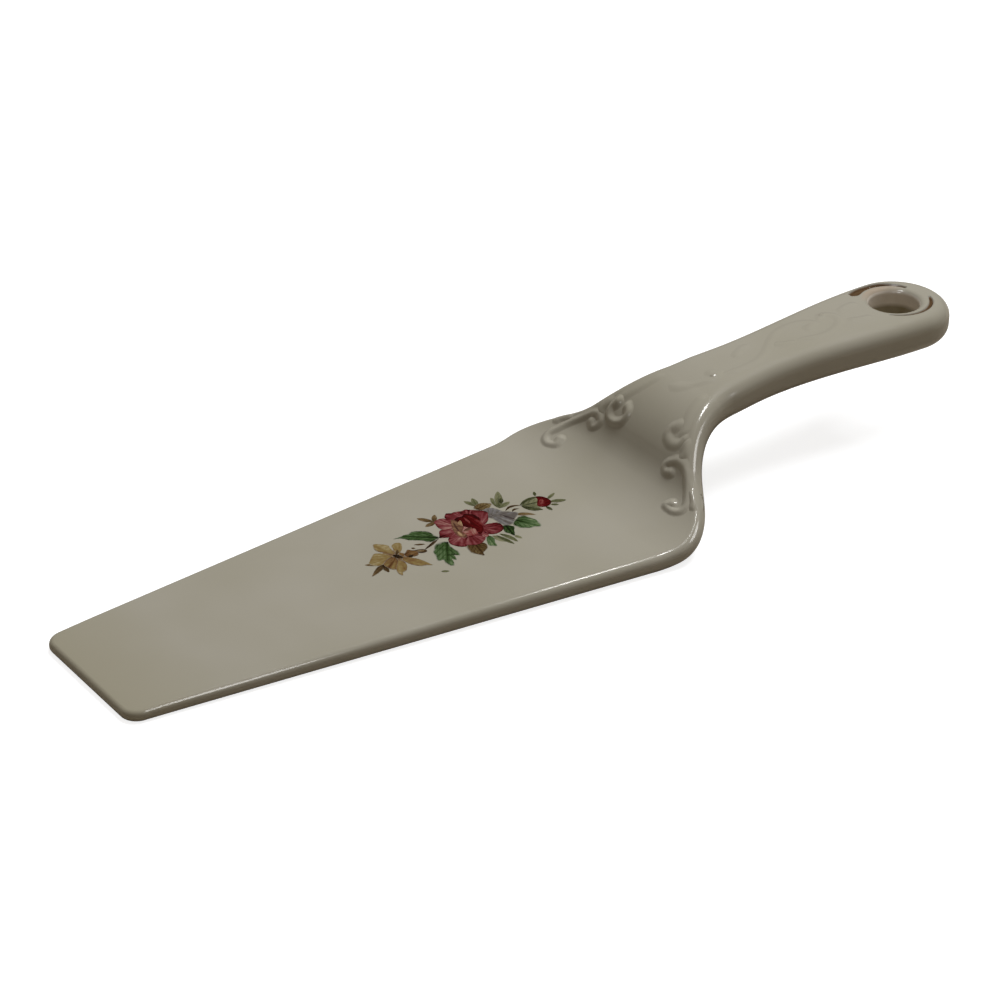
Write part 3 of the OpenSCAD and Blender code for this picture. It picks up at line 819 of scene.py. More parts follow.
@dataclass
class Casting:
    """The porcelain casting: blade, neck and handle, in one unbroken surface."""

    form: ServerForm
    grooves: tuple[Groove, ...]
    # Columns from the middle to where an edge starts to round, and steps down each rounding
    columns: int = 24
    levels: int = 16
    # How much deeper than the stain's face each groove is cut, and the fill at which it is that deep
    bed: float = 0.12
    bed_share: float = 0.5
    # Rows round each front corner, and along the neck and the grip
    corner_rows: int = 13
    blade_rows: tuple[int, int, int] = (12, 12, 20)
    neck_rows: int = 150
    grip_rows: int = 90
    # Rows along the rounded end's sides and round it, and in to the bore and over its rim
    side_rows: int = 60
    turn_rows: int = 220
    land_rows: int = 41
    rim_rows: int = 11
    parts: tuple[str, ...] = ("blade", "neck", "handle")

    def section(self) -> tuple[Array, Array, Array]:
        """Half a section, from the middle of the upper face round the side to the underside.

        Returns:
            Per point: share of the flat width, angle down the rounded edge in radians, and 1
            for the upper half or -1 for the lower.
        """
        flat = np.linspace(0, 1, self.columns + 1)
        arc = np.radians(np.linspace(0, 90, self.levels + 1))
        zeros, ones = np.zeros(self.columns + 1), np.ones(self.levels)
        share = np.concatenate([flat, ones, np.ones(self.levels + 1), flat[::-1][1:]])
        angle = np.concatenate([zeros, arc[1:], arc[::-1], zeros[1:]])
        upper = np.where(np.arange(len(share)) <= self.columns + self.levels, 1.0, -1.0)
        return share, angle, upper

    def heights(self, t: Array, e: Array, angle: Array, upper: Array) -> Array:
        """Heights over the underside of points on a section with wall t and edge radius e."""
        drop = e * (1 - np.cos(angle))
        return np.where(upper > 0, t - drop, drop)

    def ring(self, s: float) -> Array:
        """Lays out the closed section at a station.

        Args:
            s: the station.

        Returns:
            The places, as spot() gives them.
        """
        share, angle, upper = self.section()
        e, w = self.form.edge(np.array(s)), self.form.half(np.array(s))
        y = share * (w - e) + e * np.sin(angle)
        h = self.heights(self.form.wall(np.array(s)), e, angle, upper)
        return self.both(np.full_like(y, s), y, h)

    def corner(self, turn: float) -> Array:
        """Lays out the closed section at an angle round the front corners.

        Args:
            turn: the angle in radians.

        Returns:
            The places, as spot() gives them.
        """
        share, angle, upper = self.section()
        f = self.form
        r_c = f.tip_corner_r
        e = f.edge(np.array(r_c - r_c * math.cos(turn)))
        r = r_c - e * (1 - np.sin(angle))
        s = r_c - r * math.cos(turn)
        across = f.half(np.array(r_c)) - r_c
        y = share * across + share * r * math.sin(turn)
        return self.both(s, y, self.heights(f.wall(s), e, angle, upper))

    def both(self, s: Array, y: Array, h: Array) -> Array:
        """Joins half a section and its mirror to one closed row.

        Args:
            s: stations along the underside.
            y: distances from the middle line.
            h: heights over the underside.

        Returns:
            The places, as spot() gives them.
        """
        s, y, h = (np.concatenate([v, v[-2:0:-1]]) for v in (s, y, h))
        y[len(y) // 2 + 1 :] *= -1
        return self.form.spot(s, y, h)

    def front(self) -> Array:
        """Lays out the rounded front edge between its two corners.

        Returns:
            The places, as spot() gives them.
        """
        share, angle, upper = self.section()
        keep = share >= 1
        f, e = self.form, self.form.edge(np.array(0.0))
        angle, upper = angle[keep], upper[keep]
        s = e * (1 - np.sin(angle))
        flat = np.linspace(-1, 1, 2 * self.columns + 1)
        across = (f.half(np.array(f.tip_corner_r)) - f.tip_corner_r) * flat
        h = self.heights(f.wall(s), e, angle, upper)
        return f.spot(s[:, None], across[None, :], h[:, None])

    def end(self, skin: Skin) -> None:
        """Adds the rounded end, from its outline in to the bore and down through it.

        Args:
            skin: the surface that it is added to.
        """
        f = self.form
        start, e = f.spine.length - f.spine.level, float(f.edge(np.array(f.spine.length)))
        side = np.linspace(start, f.end_run, self.side_rows)
        turn = np.linspace(0, np.pi, self.turn_rows)
        share, angle, upper = self.section()
        keep = share >= 1
        angle, upper = angle[keep][:, None], upper[keep][:, None]
        inset = e * (1 - np.sin(angle))
        s = np.hstack([
            np.broadcast_to(side, (len(angle), len(side))),
            f.end_run + (f.end_r - inset) * np.sin(turn[1:-1]),
            np.broadcast_to(side[::-1], (len(angle), len(side))),
        ])
        y = np.hstack([
            f.half(side) - inset,
            (f.end_r - inset) * np.cos(turn[1:-1]),
            inset - f.half(side[::-1]),
        ])
        h = np.broadcast_to(self.heights(f.end_t, e, angle, upper), s.shape)
        skin.grid(self.sunk(s, y, h), 2)

        line = np.linspace(-1, 1, 2 * self.columns + 1)[1:-1] * (float(f.half(np.array(start))) - e)
        loop_s = np.concatenate([s[0], np.full(len(line), start)])
        loop_y = np.concatenate([y[0], line])
        way = np.arctan2(loop_y, loop_s - f.hole_run)
        rim = f.hole_r + f.hole_rim_r
        out = np.linspace(0, 1, self.land_rows)[:, None]
        rim_s, rim_y = f.hole_run + rim * np.cos(way), rim * np.sin(way)
        flat_s, flat_y = loop_s + (rim_s - loop_s) * out, loop_y + (rim_y - loop_y) * out
        arc = np.radians(np.linspace(0, 90, self.rim_rows))[1:, None]
        r = f.hole_r + f.hole_rim_r * (1 - np.sin(arc))
        arc_s, arc_y = f.hole_run + r * np.cos(way), r * np.sin(way)
        drop = np.broadcast_to(f.hole_rim_r * (1 - np.cos(arc)), arc_s.shape)
        upper_s, upper_y = np.vstack([flat_s, arc_s]), np.vstack([flat_y, arc_y])
        down = np.vstack([np.zeros_like(flat_s), drop])
        all_s, all_y = np.vstack([upper_s, upper_s[::-1]]), np.vstack([upper_y, upper_y[::-1]])
        skin.grid(self.sunk(all_s, all_y, np.vstack([f.end_t - down, down[::-1]])), 2, closed=True)

    def sunk(self, s: Array, y: Array, h: Array) -> Array:
        """Lowers places on the rounded end in the grooves and at the bore's soft rim.

        Args:
            s: stations along the underside.
            y: distances from the middle line.
            h: heights over the underside.

        Returns:
            The places, as spot() gives them.
        """
        f = self.form
        fills = {groove: groove.fill(s, y, f.hole_run) for groove in self.grooves}
        deep = sum(
            groove.depth * fill + self.bed * smoothstep(fill / self.bed_share)
            for groove, fill in fills.items()
        )
        sunk = np.minimum(h, f.end_t - f.rim_drop(s, y)) - deep
        return f.spot(s, y, np.where(h > f.end_t / 2, sunk, h))

    def build(self, material: bpy.types.Material) -> list[Piece]:
        """Builds blade, neck and handle.

        Their shading normals come from the whole surface, so that no line shows where they meet.

        Args:
            material: the porcelain.

        Returns:
            The three pieces.
        """
        f = self.form
        skin = Skin()
        skin.grid(self.front(), 0)
        corners = [self.corner(a) for a in np.radians(np.linspace(0, 90, self.corner_rows))]
        # The blade's rows, from its front corners over the sloped front and the flat to the neck
        marks = (f.tip_corner_r, f.front_slope, f.spine.flat, f.blade_l)
        foot = np.concatenate([
            np.linspace(a, b, rows)[1:] for a, b, rows in zip(marks, marks[1:], self.blade_rows, strict=False)
        ])
        neck = np.linspace(f.blade_l, f.neck_end, self.neck_rows)
        grip = np.linspace(f.neck_end, f.spine.length - f.spine.level, self.grip_rows)
        skin.grid(np.array(corners + [self.ring(s) for s in foot]), 0, closed=True)
        skin.grid(np.array([self.ring(s) for s in neck]), 1, closed=True)
        skin.grid(np.array([self.ring(s) for s in grip]), 2, closed=True)
        self.end(skin)
        work = skin.welded()
        pieces = [self.split(work, i, name, material) for i, name in enumerate(self.parts)]
        work.free()
        return pieces

    def split(
        self, work: bmesh.types.BMesh, part: int, name: str, material: bpy.types.Material
    ) -> Piece:
        """Takes one part out of the whole surface and closes it where it meets its neighbours.

        Args:
            work: the whole surface.
            part: the part's number.
            name: the piece's name.
            material: its finish.

        Returns:
            The piece.
        """
        kept = [face for face in work.faces if face.material_index == part]
        index: dict[int, int] = {}
        for face in kept:
            for corner in face.verts:
                index.setdefault(corner.index, len(index))
        source = list(work.verts)
        points = [source[i].co.copy() for i in index]
        faces = [[index[c.index] for c in face.verts] for face in kept]
        normals = [[c.normal.copy() for c in face.verts] for face in kept]
        for loop in rims(faces):
            faces.append(loop)
            flat = newell([points[i] for i in loop])
            normals.append([flat] * len(loop))
        piece = make_piece(name, points, faces, normals, material)
        return settle(piece, "porcelain", name)


# Low mouldings and stains: patches of the upper face, raised or sunk


def joined(cells: Array) -> Array:
    """Fills in beside cells that touch only at a corner, so that every rim is one plain loop.

    Args:
        cells: whether each cell of a grid is covered.

    Returns:
        The same, with the filled cells covered too.
    """
    while True:
        a, b, c, d = cells[:-1, :-1], cells[1:, 1:], cells[1:, :-1], cells[:-1, 1:]
        gap = (a & b & ~c & ~d) | (c & d & ~a & ~b)
        if not gap.any():
            return cells
        cells = cells.copy()
        for part in (cells[:-1, :-1], cells[1:, 1:], cells[1:, :-1], cells[:-1, 1:]):
            part |= gap


@dataclass
class Patch:
    """A patch of the upper face, raised or sunk by a formula and closed below the surface."""

    form: ServerForm
    name: str
    low: Pair
    high: Pair
    step: float = 0.22
    # How far its rim dips under the surface, and how far down it is closed
    dip: float = 0.02
    root: float = 0.35

    def build(
        self,
        rise: Callable[[Array, Array], tuple[Array, Array, Values]],
        material: bpy.types.Material,
    ) -> Piece:
        """Builds the patch.

        Args:
            rise: gives height, whether it is covered, and numbers to keep, for s and y.
            material: its finish.

        Returns:
            The piece, not yet settled.
        """
        sides = [
            np.linspace(a, b, int(math.ceil((b - a) / self.step)) + 1)
            for a, b in zip(self.low, self.high, strict=True)
        ]
        s, y = np.meshgrid(*sides, indexing="ij")
        height, cover, values = rise(s, y)
        shape = self.form.top(s, y, height)
        along, across = np.gradient(shape, axis=(0, 1))
        normal = np.cross(along, across)
        normal /= np.linalg.norm(normal, axis=-1, keepdims=True)
        upper = self.form.top(s, y, height - self.dip)
        lower = self.form.top(s, y, np.minimum(height, 0.0) - self.root)
        cells = joined(cover[:-1, :-1] | cover[1:, :-1] | cover[1:, 1:] | cover[:-1, 1:])
        number = np.arange(s.size).reshape(s.shape)
        covered = quads(number)[cells]
        keep = np.unique(covered)
        new = np.full(s.size, -1)
        new[keep] = np.arange(len(keep))
        top = new[covered].tolist()
        faces = slab(top, len(keep))
        points = np.vstack([upper.reshape(-1, 3)[keep], lower.reshape(-1, 3)[keep]])
        smooth = normal.reshape(-1, 3)[keep]
        corners = [Vector(p) for p in points]
        normals = [[smooth[i] for i in q] for q in top]
        for face in faces[len(top) :]:
            flat = newell([corners[i] for i in face])
            normals.append([flat] * len(face))
        kept = {key: np.tile(v.ravel()[keep], 2) for key, v in values.items()}
        return make_piece(self.name, points, faces, normals, material, kept)


@dataclass(frozen=True)
class Stroke:
    """A raised stroke: shares of the run and of the half width, and how its ends swell."""

    path: tuple[Pair, ...]
    width: float
    height: float
    head: float = 1.0
    tail: float = 1.0
    # Share of the stroke over which its ends swell, and points drawn from each place to the next
    knob_share: float = 0.12
    steps: int = 6

    def drawn(self, form: ServerForm, run: float, side: float) -> tuple[Array, Array, Array]:
        """Lays the stroke out on the upper face.

        Args:
            form: the server's form.
            run: the length that its first shares are of.
            side: 1 on the far side, -1 on the near one.

        Returns:
            Its middle line, and the half width and height at each point of it.
        """
        ends = [self.path[0], *self.path, self.path[-1]]
        points = []
        for i in range(1, len(ends) - 2):
            a, b, c, d = (np.array(ends[i + k]) for k in (-1, 0, 1, 2))
            for t in np.linspace(0, 1, self.steps, endpoint=i == len(ends) - 3):
                points.append(spline(a, b, c, d, t))
        line = np.array([form.plan(u, side * v, run) for u, v in points])
        f = np.linspace(0, 1, len(line))
        near = np.clip(1 - np.minimum(f, 1 - f) / self.knob_share, 0, 1)
        swell = 1 + (np.where(f < 0.5, self.head, self.tail) - 1) * smoothstep(near)
        return line, self.width / 2 * swell, self.height * swell


def bead(s: Array, y: Array, line: Array, half: Array, rise: Array) -> Array:
    """Height of a soft bead along a line.

    Args:
        s: stations.
        y: distances from the middle line.
        line: the bead's middle line.
        half: half width at each of its points.
        rise: height at each of its points.

    Returns:
        The height at every place, 0 off the bead.
    """
    best = np.zeros(s.shape)
    for a, b, r0, r1, h0, h1 in zip(line, line[1:], half, half[1:], rise, rise[1:], strict=False):
        step = b - a
        t = np.clip(((s - a[0]) * step[0] + (y - a[1]) * step[1]) / (step @ step + 1e-12), 0, 1)
        off = np.hypot(s - a[0] - step[0] * t, y - a[1] - step[1] * t)
        share = np.clip(1 - (off / (r0 + (r1 - r0) * t)) ** 2, 0, None)
        best = np.maximum(best, (h0 + (h1 - h0) * t) * share**2)
    return best


@dataclass(frozen=True)
class Moulding:
    """One named moulding: its strokes, and the run and side that they are laid out on."""

    name: str
    strokes: tuple[Stroke, ...]
    run: float
    side: float
    # Room round the strokes, the least height that counts as one, and how far their rims dip
    margin: float = 0.5
    least: float = 0.001
    dip: float = 0.005

    def build(self, form: ServerForm, material: bpy.types.Material) -> Piece:
        """Builds and settles the moulding.

        Args:
            form: the server's form.
            material: the porcelain.

        Returns:
            The moulding's piece.
        """
        drawn = [stroke.drawn(form, self.run, self.side) for stroke in self.strokes]
        everything = np.vstack([line for line, _, _ in drawn])
        reach = max(float(half.max()) for _, half, _ in drawn) + self.margin
        low, high = everything.min(0) - reach, everything.max(0) + reach

        def rise(s: Array, y: Array) -> tuple[Array, Array, Values]:
            """Height and cover of all strokes together."""
            height = np.max([bead(s, y, *row) for row in drawn], axis=0)
            return height, height > self.least, {}

        patch = Patch(form, self.name, tuple(low), tuple(high), dip=self.dip)
        return settle(patch.build(rise, material), "porcelain", self.name)


@dataclass(frozen=True)
class Scrollwork:
    """All mouldings of the shoulders and the grip."""

    form: ServerForm
    neck_run: float = 36.0
    grip_run: float = 105.9
    width: float = 2.8
    height: float = 0.68
    # How much wider the shoulders' scrolls are, and shares of the height for them, leaves and soft scrolls
    shoulder_wider: float = 1.08
    shoulder_share: float = 0.75
    leaf_share: float = 0.55
    soft_share: float = 0.5
    trail_width: float = 3.2
    trail_height: float = 0.21
    bud_width: float = 1.7
    bud_height: float = 0.46
    # How far a stroke's end swells to a knob or thins out to a point
    knob: float = 1.3
    point: float = 0.45

    def mouldings(self) -> list[Moulding]:
        """Lists the mouldings, each with the name of the node that it stands for.

        Returns:
            All of them, from the shoulders to the grip's end.
        """
        bold = {"width": self.width, "height": self.height}
        leaf = {"width": self.trail_width, "height": self.height * self.leaf_share, "tail": self.point}
        faint = {"width": self.trail_width, "height": self.trail_height}
        trail = {**faint, "tail": self.point}
        bud = {"width": self.bud_width, "height": self.bud_height}
        ends = {"head": self.knob, "tail": self.knob}
        wide, low = self.width * self.shoulder_wider, self.height * self.shoulder_share
        shoulder = {"width": wide, "height": low, **ends}
        soft = {"width": self.width, "height": self.height * self.soft_share, "head": self.knob}
        near, far = -1.0, 1.0
        return [
            Moulding("near_shoulder_scroll", (Stroke((
                (0.417, 0.60), (0.406, 0.53), (0.433, 0.51), (0.469, 0.56), (0.506, 0.71), (0.505, 0.82),
                (0.485, 0.865), (0.455, 0.87), (0.406, 0.86), (0.350, 0.845), (0.294, 0.835), (0.250, 0.815),
                (0.208, 0.77), (0.183, 0.70), (0.194, 0.63), (0.228, 0.67),
            ), **shoulder),), self.neck_run, near),
            Moulding("far_shoulder_scroll", (Stroke((
                (0.414, 0.69), (0.389, 0.62), (0.411, 0.60), (0.456, 0.63), (0.486, 0.73), (0.475, 0.80),
                (0.433, 0.82), (0.372, 0.82), (0.300, 0.81), (0.228, 0.79), (0.156, 0.78), (0.094, 0.73),
                (0.078, 0.67), (0.111, 0.62), (0.161, 0.65),
            ), **shoulder),), self.neck_run, far),
            Moulding("near_neck_scroll", (Stroke((
                (0.650, 0.55), (0.628, 0.44), (0.589, 0.42), (0.567, 0.49), (0.564, 0.58), (0.578, 0.68),
                (0.608, 0.75),
            ), **soft),), self.neck_run, near),
            Moulding("far_neck_scroll", (Stroke((
                (0.594, 0.68), (0.556, 0.69), (0.508, 0.59), (0.497, 0.47), (0.525, 0.38), (0.572, 0.39),
                (0.597, 0.49),
            ), **bold, head=self.knob),), self.neck_run, far),
            Moulding("near_rim_leaves", (
                Stroke(((0.37, 0.90), (0.33, 0.92), (0.29, 0.91)), **leaf),
                Stroke(((0.53, 0.78), (0.56, 0.82), (0.60, 0.81)), **leaf),
            ), self.neck_run, near),
            Moulding("far_rim_leaves", (
                Stroke(((0.35, 0.90), (0.31, 0.92), (0.27, 0.91)), **leaf),
                Stroke(((0.51, 0.76), (0.54, 0.80), (0.58, 0.79)), **leaf),
            ), self.neck_run, far),
            Moulding("near_neck_leaf", (Stroke((
                (0.644, 0.70), (0.700, 0.65), (0.767, 0.61), (0.833, 0.58),
            ), **trail),), self.neck_run, near),
            Moulding("far_neck_leaf", (Stroke((
                (0.628, 0.71), (0.678, 0.67), (0.739, 0.63), (0.811, 0.60),
            ), **trail),), self.neck_run, far),
            Moulding("grip_front_scroll", (Stroke((
                (0.27, 0.21), (0.28, -0.03), (0.31, -0.23), (0.34, -0.32), (0.355, -0.22), (0.345, -0.12),
            ), **faint, head=self.point, tail=self.knob), Stroke(((0.338, -0.24), (0.343, -0.26)), **bud)),
                self.grip_run, far),
            Moulding("grip_middle_scroll", (Stroke((
                (0.36, -0.33), (0.40, -0.44), (0.45, -0.42), (0.49, -0.19), (0.53, 0.16), (0.57, 0.39),
                (0.62, 0.39), (0.65, 0.20), (0.63, 0.06),
            ), **faint, head=self.point, tail=self.knob),), self.grip_run, far),
            Moulding("grip_rear_scroll", (Stroke((
                (0.58, -0.23), (0.62, -0.38), (0.66, -0.34), (0.70, -0.12), (0.71, 0.16), (0.69, 0.33),
                (0.67, 0.22),
            ), **faint, head=self.point, tail=0.6), Stroke(((0.685, 0.32), (0.690, 0.34)), **bud)),
                self.grip_run, far),
            Moulding("grip_leaves", (
                Stroke(((0.73, -0.20), (0.75, -0.26), (0.77, -0.28)), **trail),
                Stroke(((0.74, 0.26), (0.76, 0.31), (0.785, 0.33)), **trail),
                Stroke(((0.53, -0.10), (0.54, -0.19), (0.56, -0.24)), **trail),
                Stroke(((0.43, 0.12), (0.45, 0.25), (0.47, 0.33)), **trail),
            ), self.grip_run, far),
        ]

    def build(self, material: bpy.types.Material) -> list[Piece]:
        """Builds every moulding in porcelain."""
        return [moulding.build(self.form, material) for moulding in self.mouldings()]


@dataclass(frozen=True)
class StainedGroove:
    """The brown stain on a groove's floor."""

    form: ServerForm
    groove: Groove
    name: str
    # How far it lies over the groove's floor, the least fill that it covers, and room round it
    proud: float = 0.03
    least: float = 0.12
    margin: float = 0.8
    turns: int = 60

    def build(self, material: bpy.types.Material) -> Piece:
        """Builds and settles the stain.

        Args:
            material: its finish.

        Returns:
            The stain's piece.
        """
        f, g = self.form, self.groove
        turns = np.radians(np.linspace(g.head, g.tail, self.turns))
        radius = g.tail_radius + g.sweep / 2
        s, y = f.hole_run + radius * np.cos(turns), radius * np.sin(turns)
        reach = (g.width + g.sweep) / 2 + self.margin

        def rise(at_s: Array, at_y: Array) -> tuple[Array, Array, Values]:
            """The groove's own floor, a little proud of it, where the stain lies."""
            fill = g.fill(at_s, at_y, f.hole_run)
            return self.proud - g.depth * fill - f.rim_drop(at_s, at_y), fill > self.least, {"fill": fill}

        patch = Patch(
            f, self.name, (s.min() - reach, y.min() - reach), (s.max() + reach, y.max() + reach),
            step=0.16, dip=0.01, root=0.15,
        )
        return settle(patch.build(rise, material), "brown_stain", self.name)


# The flower transfer


@dataclass(frozen=True)
class Strip:
    """A narrow leaf or stroke of the transfer, in millimetres from the rose's middle."""

    foot: Pair
    tip: Pair
    width: float
    # Shades at its foot and at its tip
    shades: Pair = (0.4, 0.6)
    # How far its middle bows out to the left of the way from foot to tip
    bow: float = 0.0
    # Below 1, its ends are blunter than a sine's, and they are cut off by a small share
    blunt: float = 0.7
    cut: float = 0.015
    rows: int = 18
    columns: int = 7

    def sheet(self, fan: bool) -> tuple[Array, Values, bool]:
        """Lays it out in rows from foot to tip.

        Args:
            fan: not used, as a strip's lines never fan out.

        Returns:
            The same as a petal's sheet().
        """
        rows = np.linspace(self.cut, 1 - self.cut, self.rows)
        t, v = np.meshgrid(rows, np.linspace(-1, 1, self.columns), indexing="ij")
        axis = np.array(self.tip) - np.array(self.foot)
        side = np.array([-axis[1], axis[0]]) / np.linalg.norm(axis)
        half = self.width / 2 * np.sin(np.pi * t) ** self.blunt
        out = self.bow * np.sin(np.pi * t) + half * v
        place = np.array(self.foot) + axis * t[..., None] + side * out[..., None]
        return place, {"along": t, "across": v, "rim": 1 - np.abs(v)}, False


@dataclass(frozen=True)
class Petal:
    """A petal or leaf of the transfer, drawn by its outline in millimetres from the rose's middle."""

    outline: tuple[Pair, ...]
    # The place that its lines fan out from, or that its midrib starts at
    root: Pair
    shades: Pair = (0.4, 0.6)
    # A place inside that sees its whole outline, where that isn't its middle
    heart: Pair | None = None
    # Shares of the way out at which its rings lie, and points drawn from each place to the next
    rings: tuple[float, ...] = (0.06, 0.25, 0.45, 0.62, 0.76, 0.88, 0.95, 1.0)
    steps: int = 5

    def sheet(self, fan: bool) -> tuple[Array, Values, bool]:
        """Lays it out in rings from its middle to its outline.

        Args:
            fan: whether its lines fan out from the root, rather than lie beside a midrib.

        Returns:
            Places, the numbers that the ink reads, and whether the rows close on themselves.
        """
        corners = np.array(self.outline)
        after = np.roll(corners, -1, 0)
        if np.sum(corners[:, 0] * after[:, 1] - after[:, 0] * corners[:, 1]) < 0:
            corners = corners[::-1]
        a, b, c, d = (np.roll(corners, k, 0)[:, None] for k in (1, 0, -1, -2))
        t = np.linspace(0, 1, self.steps, endpoint=False)[None, :, None]
        line = spline(a, b, c, d, t).reshape(-1, 2)
        middle = np.array(self.heart) if self.heart else line.mean(0)
        rings = np.array(self.rings)[:, None]
        place = middle + (line - middle) * rings[..., None]
        rim = np.broadcast_to(1 - rings, place.shape[:2])
        root = np.array(self.root)
        off, axis = place - root, middle - root
        axis = axis / np.linalg.norm(axis)
        ahead, aside = off @ axis, off @ np.array([-axis[1], axis[0]])
        if fan:
            along, across = np.hypot(ahead, aside), np.arctan2(aside, ahead)
            return place, {"along": along / along.max(), "across": across, "rim": rim}, True
        share = (ahead - ahead.min()) / np.ptp(ahead)
        return place, {"along": share, "across": aside / np.abs(aside).max(), "rim": rim}, True


@dataclass(frozen=True)
class Print:
    """One named group of motifs, printed in one ink."""

    name: str
    slot: str
    ink: TransferInk
    motifs: tuple[Strip | Petal, ...]
    # Height of the lowest motif's face, how much higher each next one lies, and how deep they reach
    lift: float = 0.012
    layer: float = 0.0009
    root: float = 0.03
    # Sets the streaks of each motif apart from those of the one before
    seed: float = 7.3

    def build(self, form: ServerForm, rose: Pair, below: int) -> Piece:
        """Builds the group.

        Args:
            form: the server's form.
            rose: station and side distance of the rose's middle.
            below: how many motifs lie under the group's first one.

        Returns:
            Its piece, settled on the server.
        """
        points: list[Array] = []
        faces: list[list[int]] = []
        values: dict[str, list[Array]] = {key: [] for key in ("along", "across", "rim", "shade", "seed")}
        count = 0
        for order, motif in enumerate(self.motifs):
            place, numbers, closed = motif.sheet(self.ink.drawing is Drawing.PETAL)
            first, last = motif.shades
            numbers["shade"] = first + (last - first) * numbers["along"]
            numbers["seed"] = np.full(place.shape[:2], self.seed * order)
            s, y = rose[0] + place[..., 0], rose[1] + place[..., 1]
            index = np.arange(s.size).reshape(s.shape) + count
            columns = np.hstack([index, index[:, :1]]) if closed else index
            top = quads(columns).reshape(-1, 4).tolist()
            if closed:
                top.append(index[0].tolist())
            faces += slab(top, s.size)
            face = self.lift + self.layer * (below + order)
            points += [form.top(s, y, height).reshape(-1, 3) for height in (face, -self.root)]
            for key, row in numbers.items():
                values[key] += [row.ravel(), row.ravel()]
            count += 2 * s.size
        kept = {key: np.concatenate(rows) for key, rows in values.items()}
        piece = make_piece(self.name, np.vstack(points), faces, None, self.ink.build(), kept)
        for polygon in piece.data.polygons:
            polygon.use_smooth = False
        return settle(piece, self.slot, self.name)


# The enamels, each ground from a metal oxide and glass. Their shades run from dark to pale
INKS = {
    "pink": TransferInk("rose_pink_enamel", (
        (0.0, "#280000"), (0.2, "#480c0e"), (0.4, "#602123"), (0.6, "#72383a"), (0.8, "#83544f"),
        (1.0, "#9f786c"),
    ), streaks=0.3, outline=0.12),
    "crimson": TransferInk("crimson_enamel", (
        (0.0, "#260000"), (0.3, "#460000"), (0.5, "#580a0c"), (0.75, "#7a3c38"), (1.0, "#946c60"),
    ), streaks=0.2),
    "stamen": TransferInk("stamen_ochre_enamel", (
        (0.0, "#2e1a10"), (0.35, "#56352a"), (0.6, "#6b4a36"), (0.8, "#7d5f48"), (1.0, "#a08560"),
    ), streaks=0.3),
    "green": TransferInk("leaf_green_enamel", (
        (0.0, "#0a1000"), (0.25, "#192b08"), (0.5, "#344823"), (0.75, "#4e613e"), (1.0, "#727f5a"),
    ), Drawing.LEAF, streaks=0.18, feather=0.7),
    "sage": TransferInk("grey_green_enamel", (
        (0.0, "#282912"), (0.3, "#4c4e31"), (0.55, "#67664a"), (0.8, "#7a775a"), (1.0, "#8c886e"),
    ), Drawing.LEAF, streaks=0.15, feather=0.8),
    "olive": TransferInk("olive_enamel", (
        (0.0, "#241000"), (0.3, "#422f15"), (0.55, "#524024"), (0.8, "#6c5a3b"), (1.0, "#8a7c58"),
    ), Drawing.LEAF, streaks=0.2, feather=0.6),
    "umber": TransferInk("brown_enamel", (
        (0.0, "#241608"), (0.35, "#46341c"), (0.65, "#665235"), (1.0, "#8a7a5c"),
    ), Drawing.STROKE, streaks=0.2, feather=0.8),
    "lilac": TransferInk("lilac_enamel", (
        (0.0, "#2f2826"), (0.3, "#463c39"), (0.6, "#5b544e"), (0.8, "#676361"), (1.0, "#807b75"),
    ), streaks=0.25, outline=0.1, feather=0.5),
    "lily": TransferInk("lily_ochre_enamel", (
        (0.0, "#341c0a"), (0.25, "#4f3217"), (0.45, "#6a4e2f"), (0.7, "#7a663c"), (0.85, "#83714b"),
        (1.0, "#988a66"),
    ), streaks=0.2, feather=0.5),
}

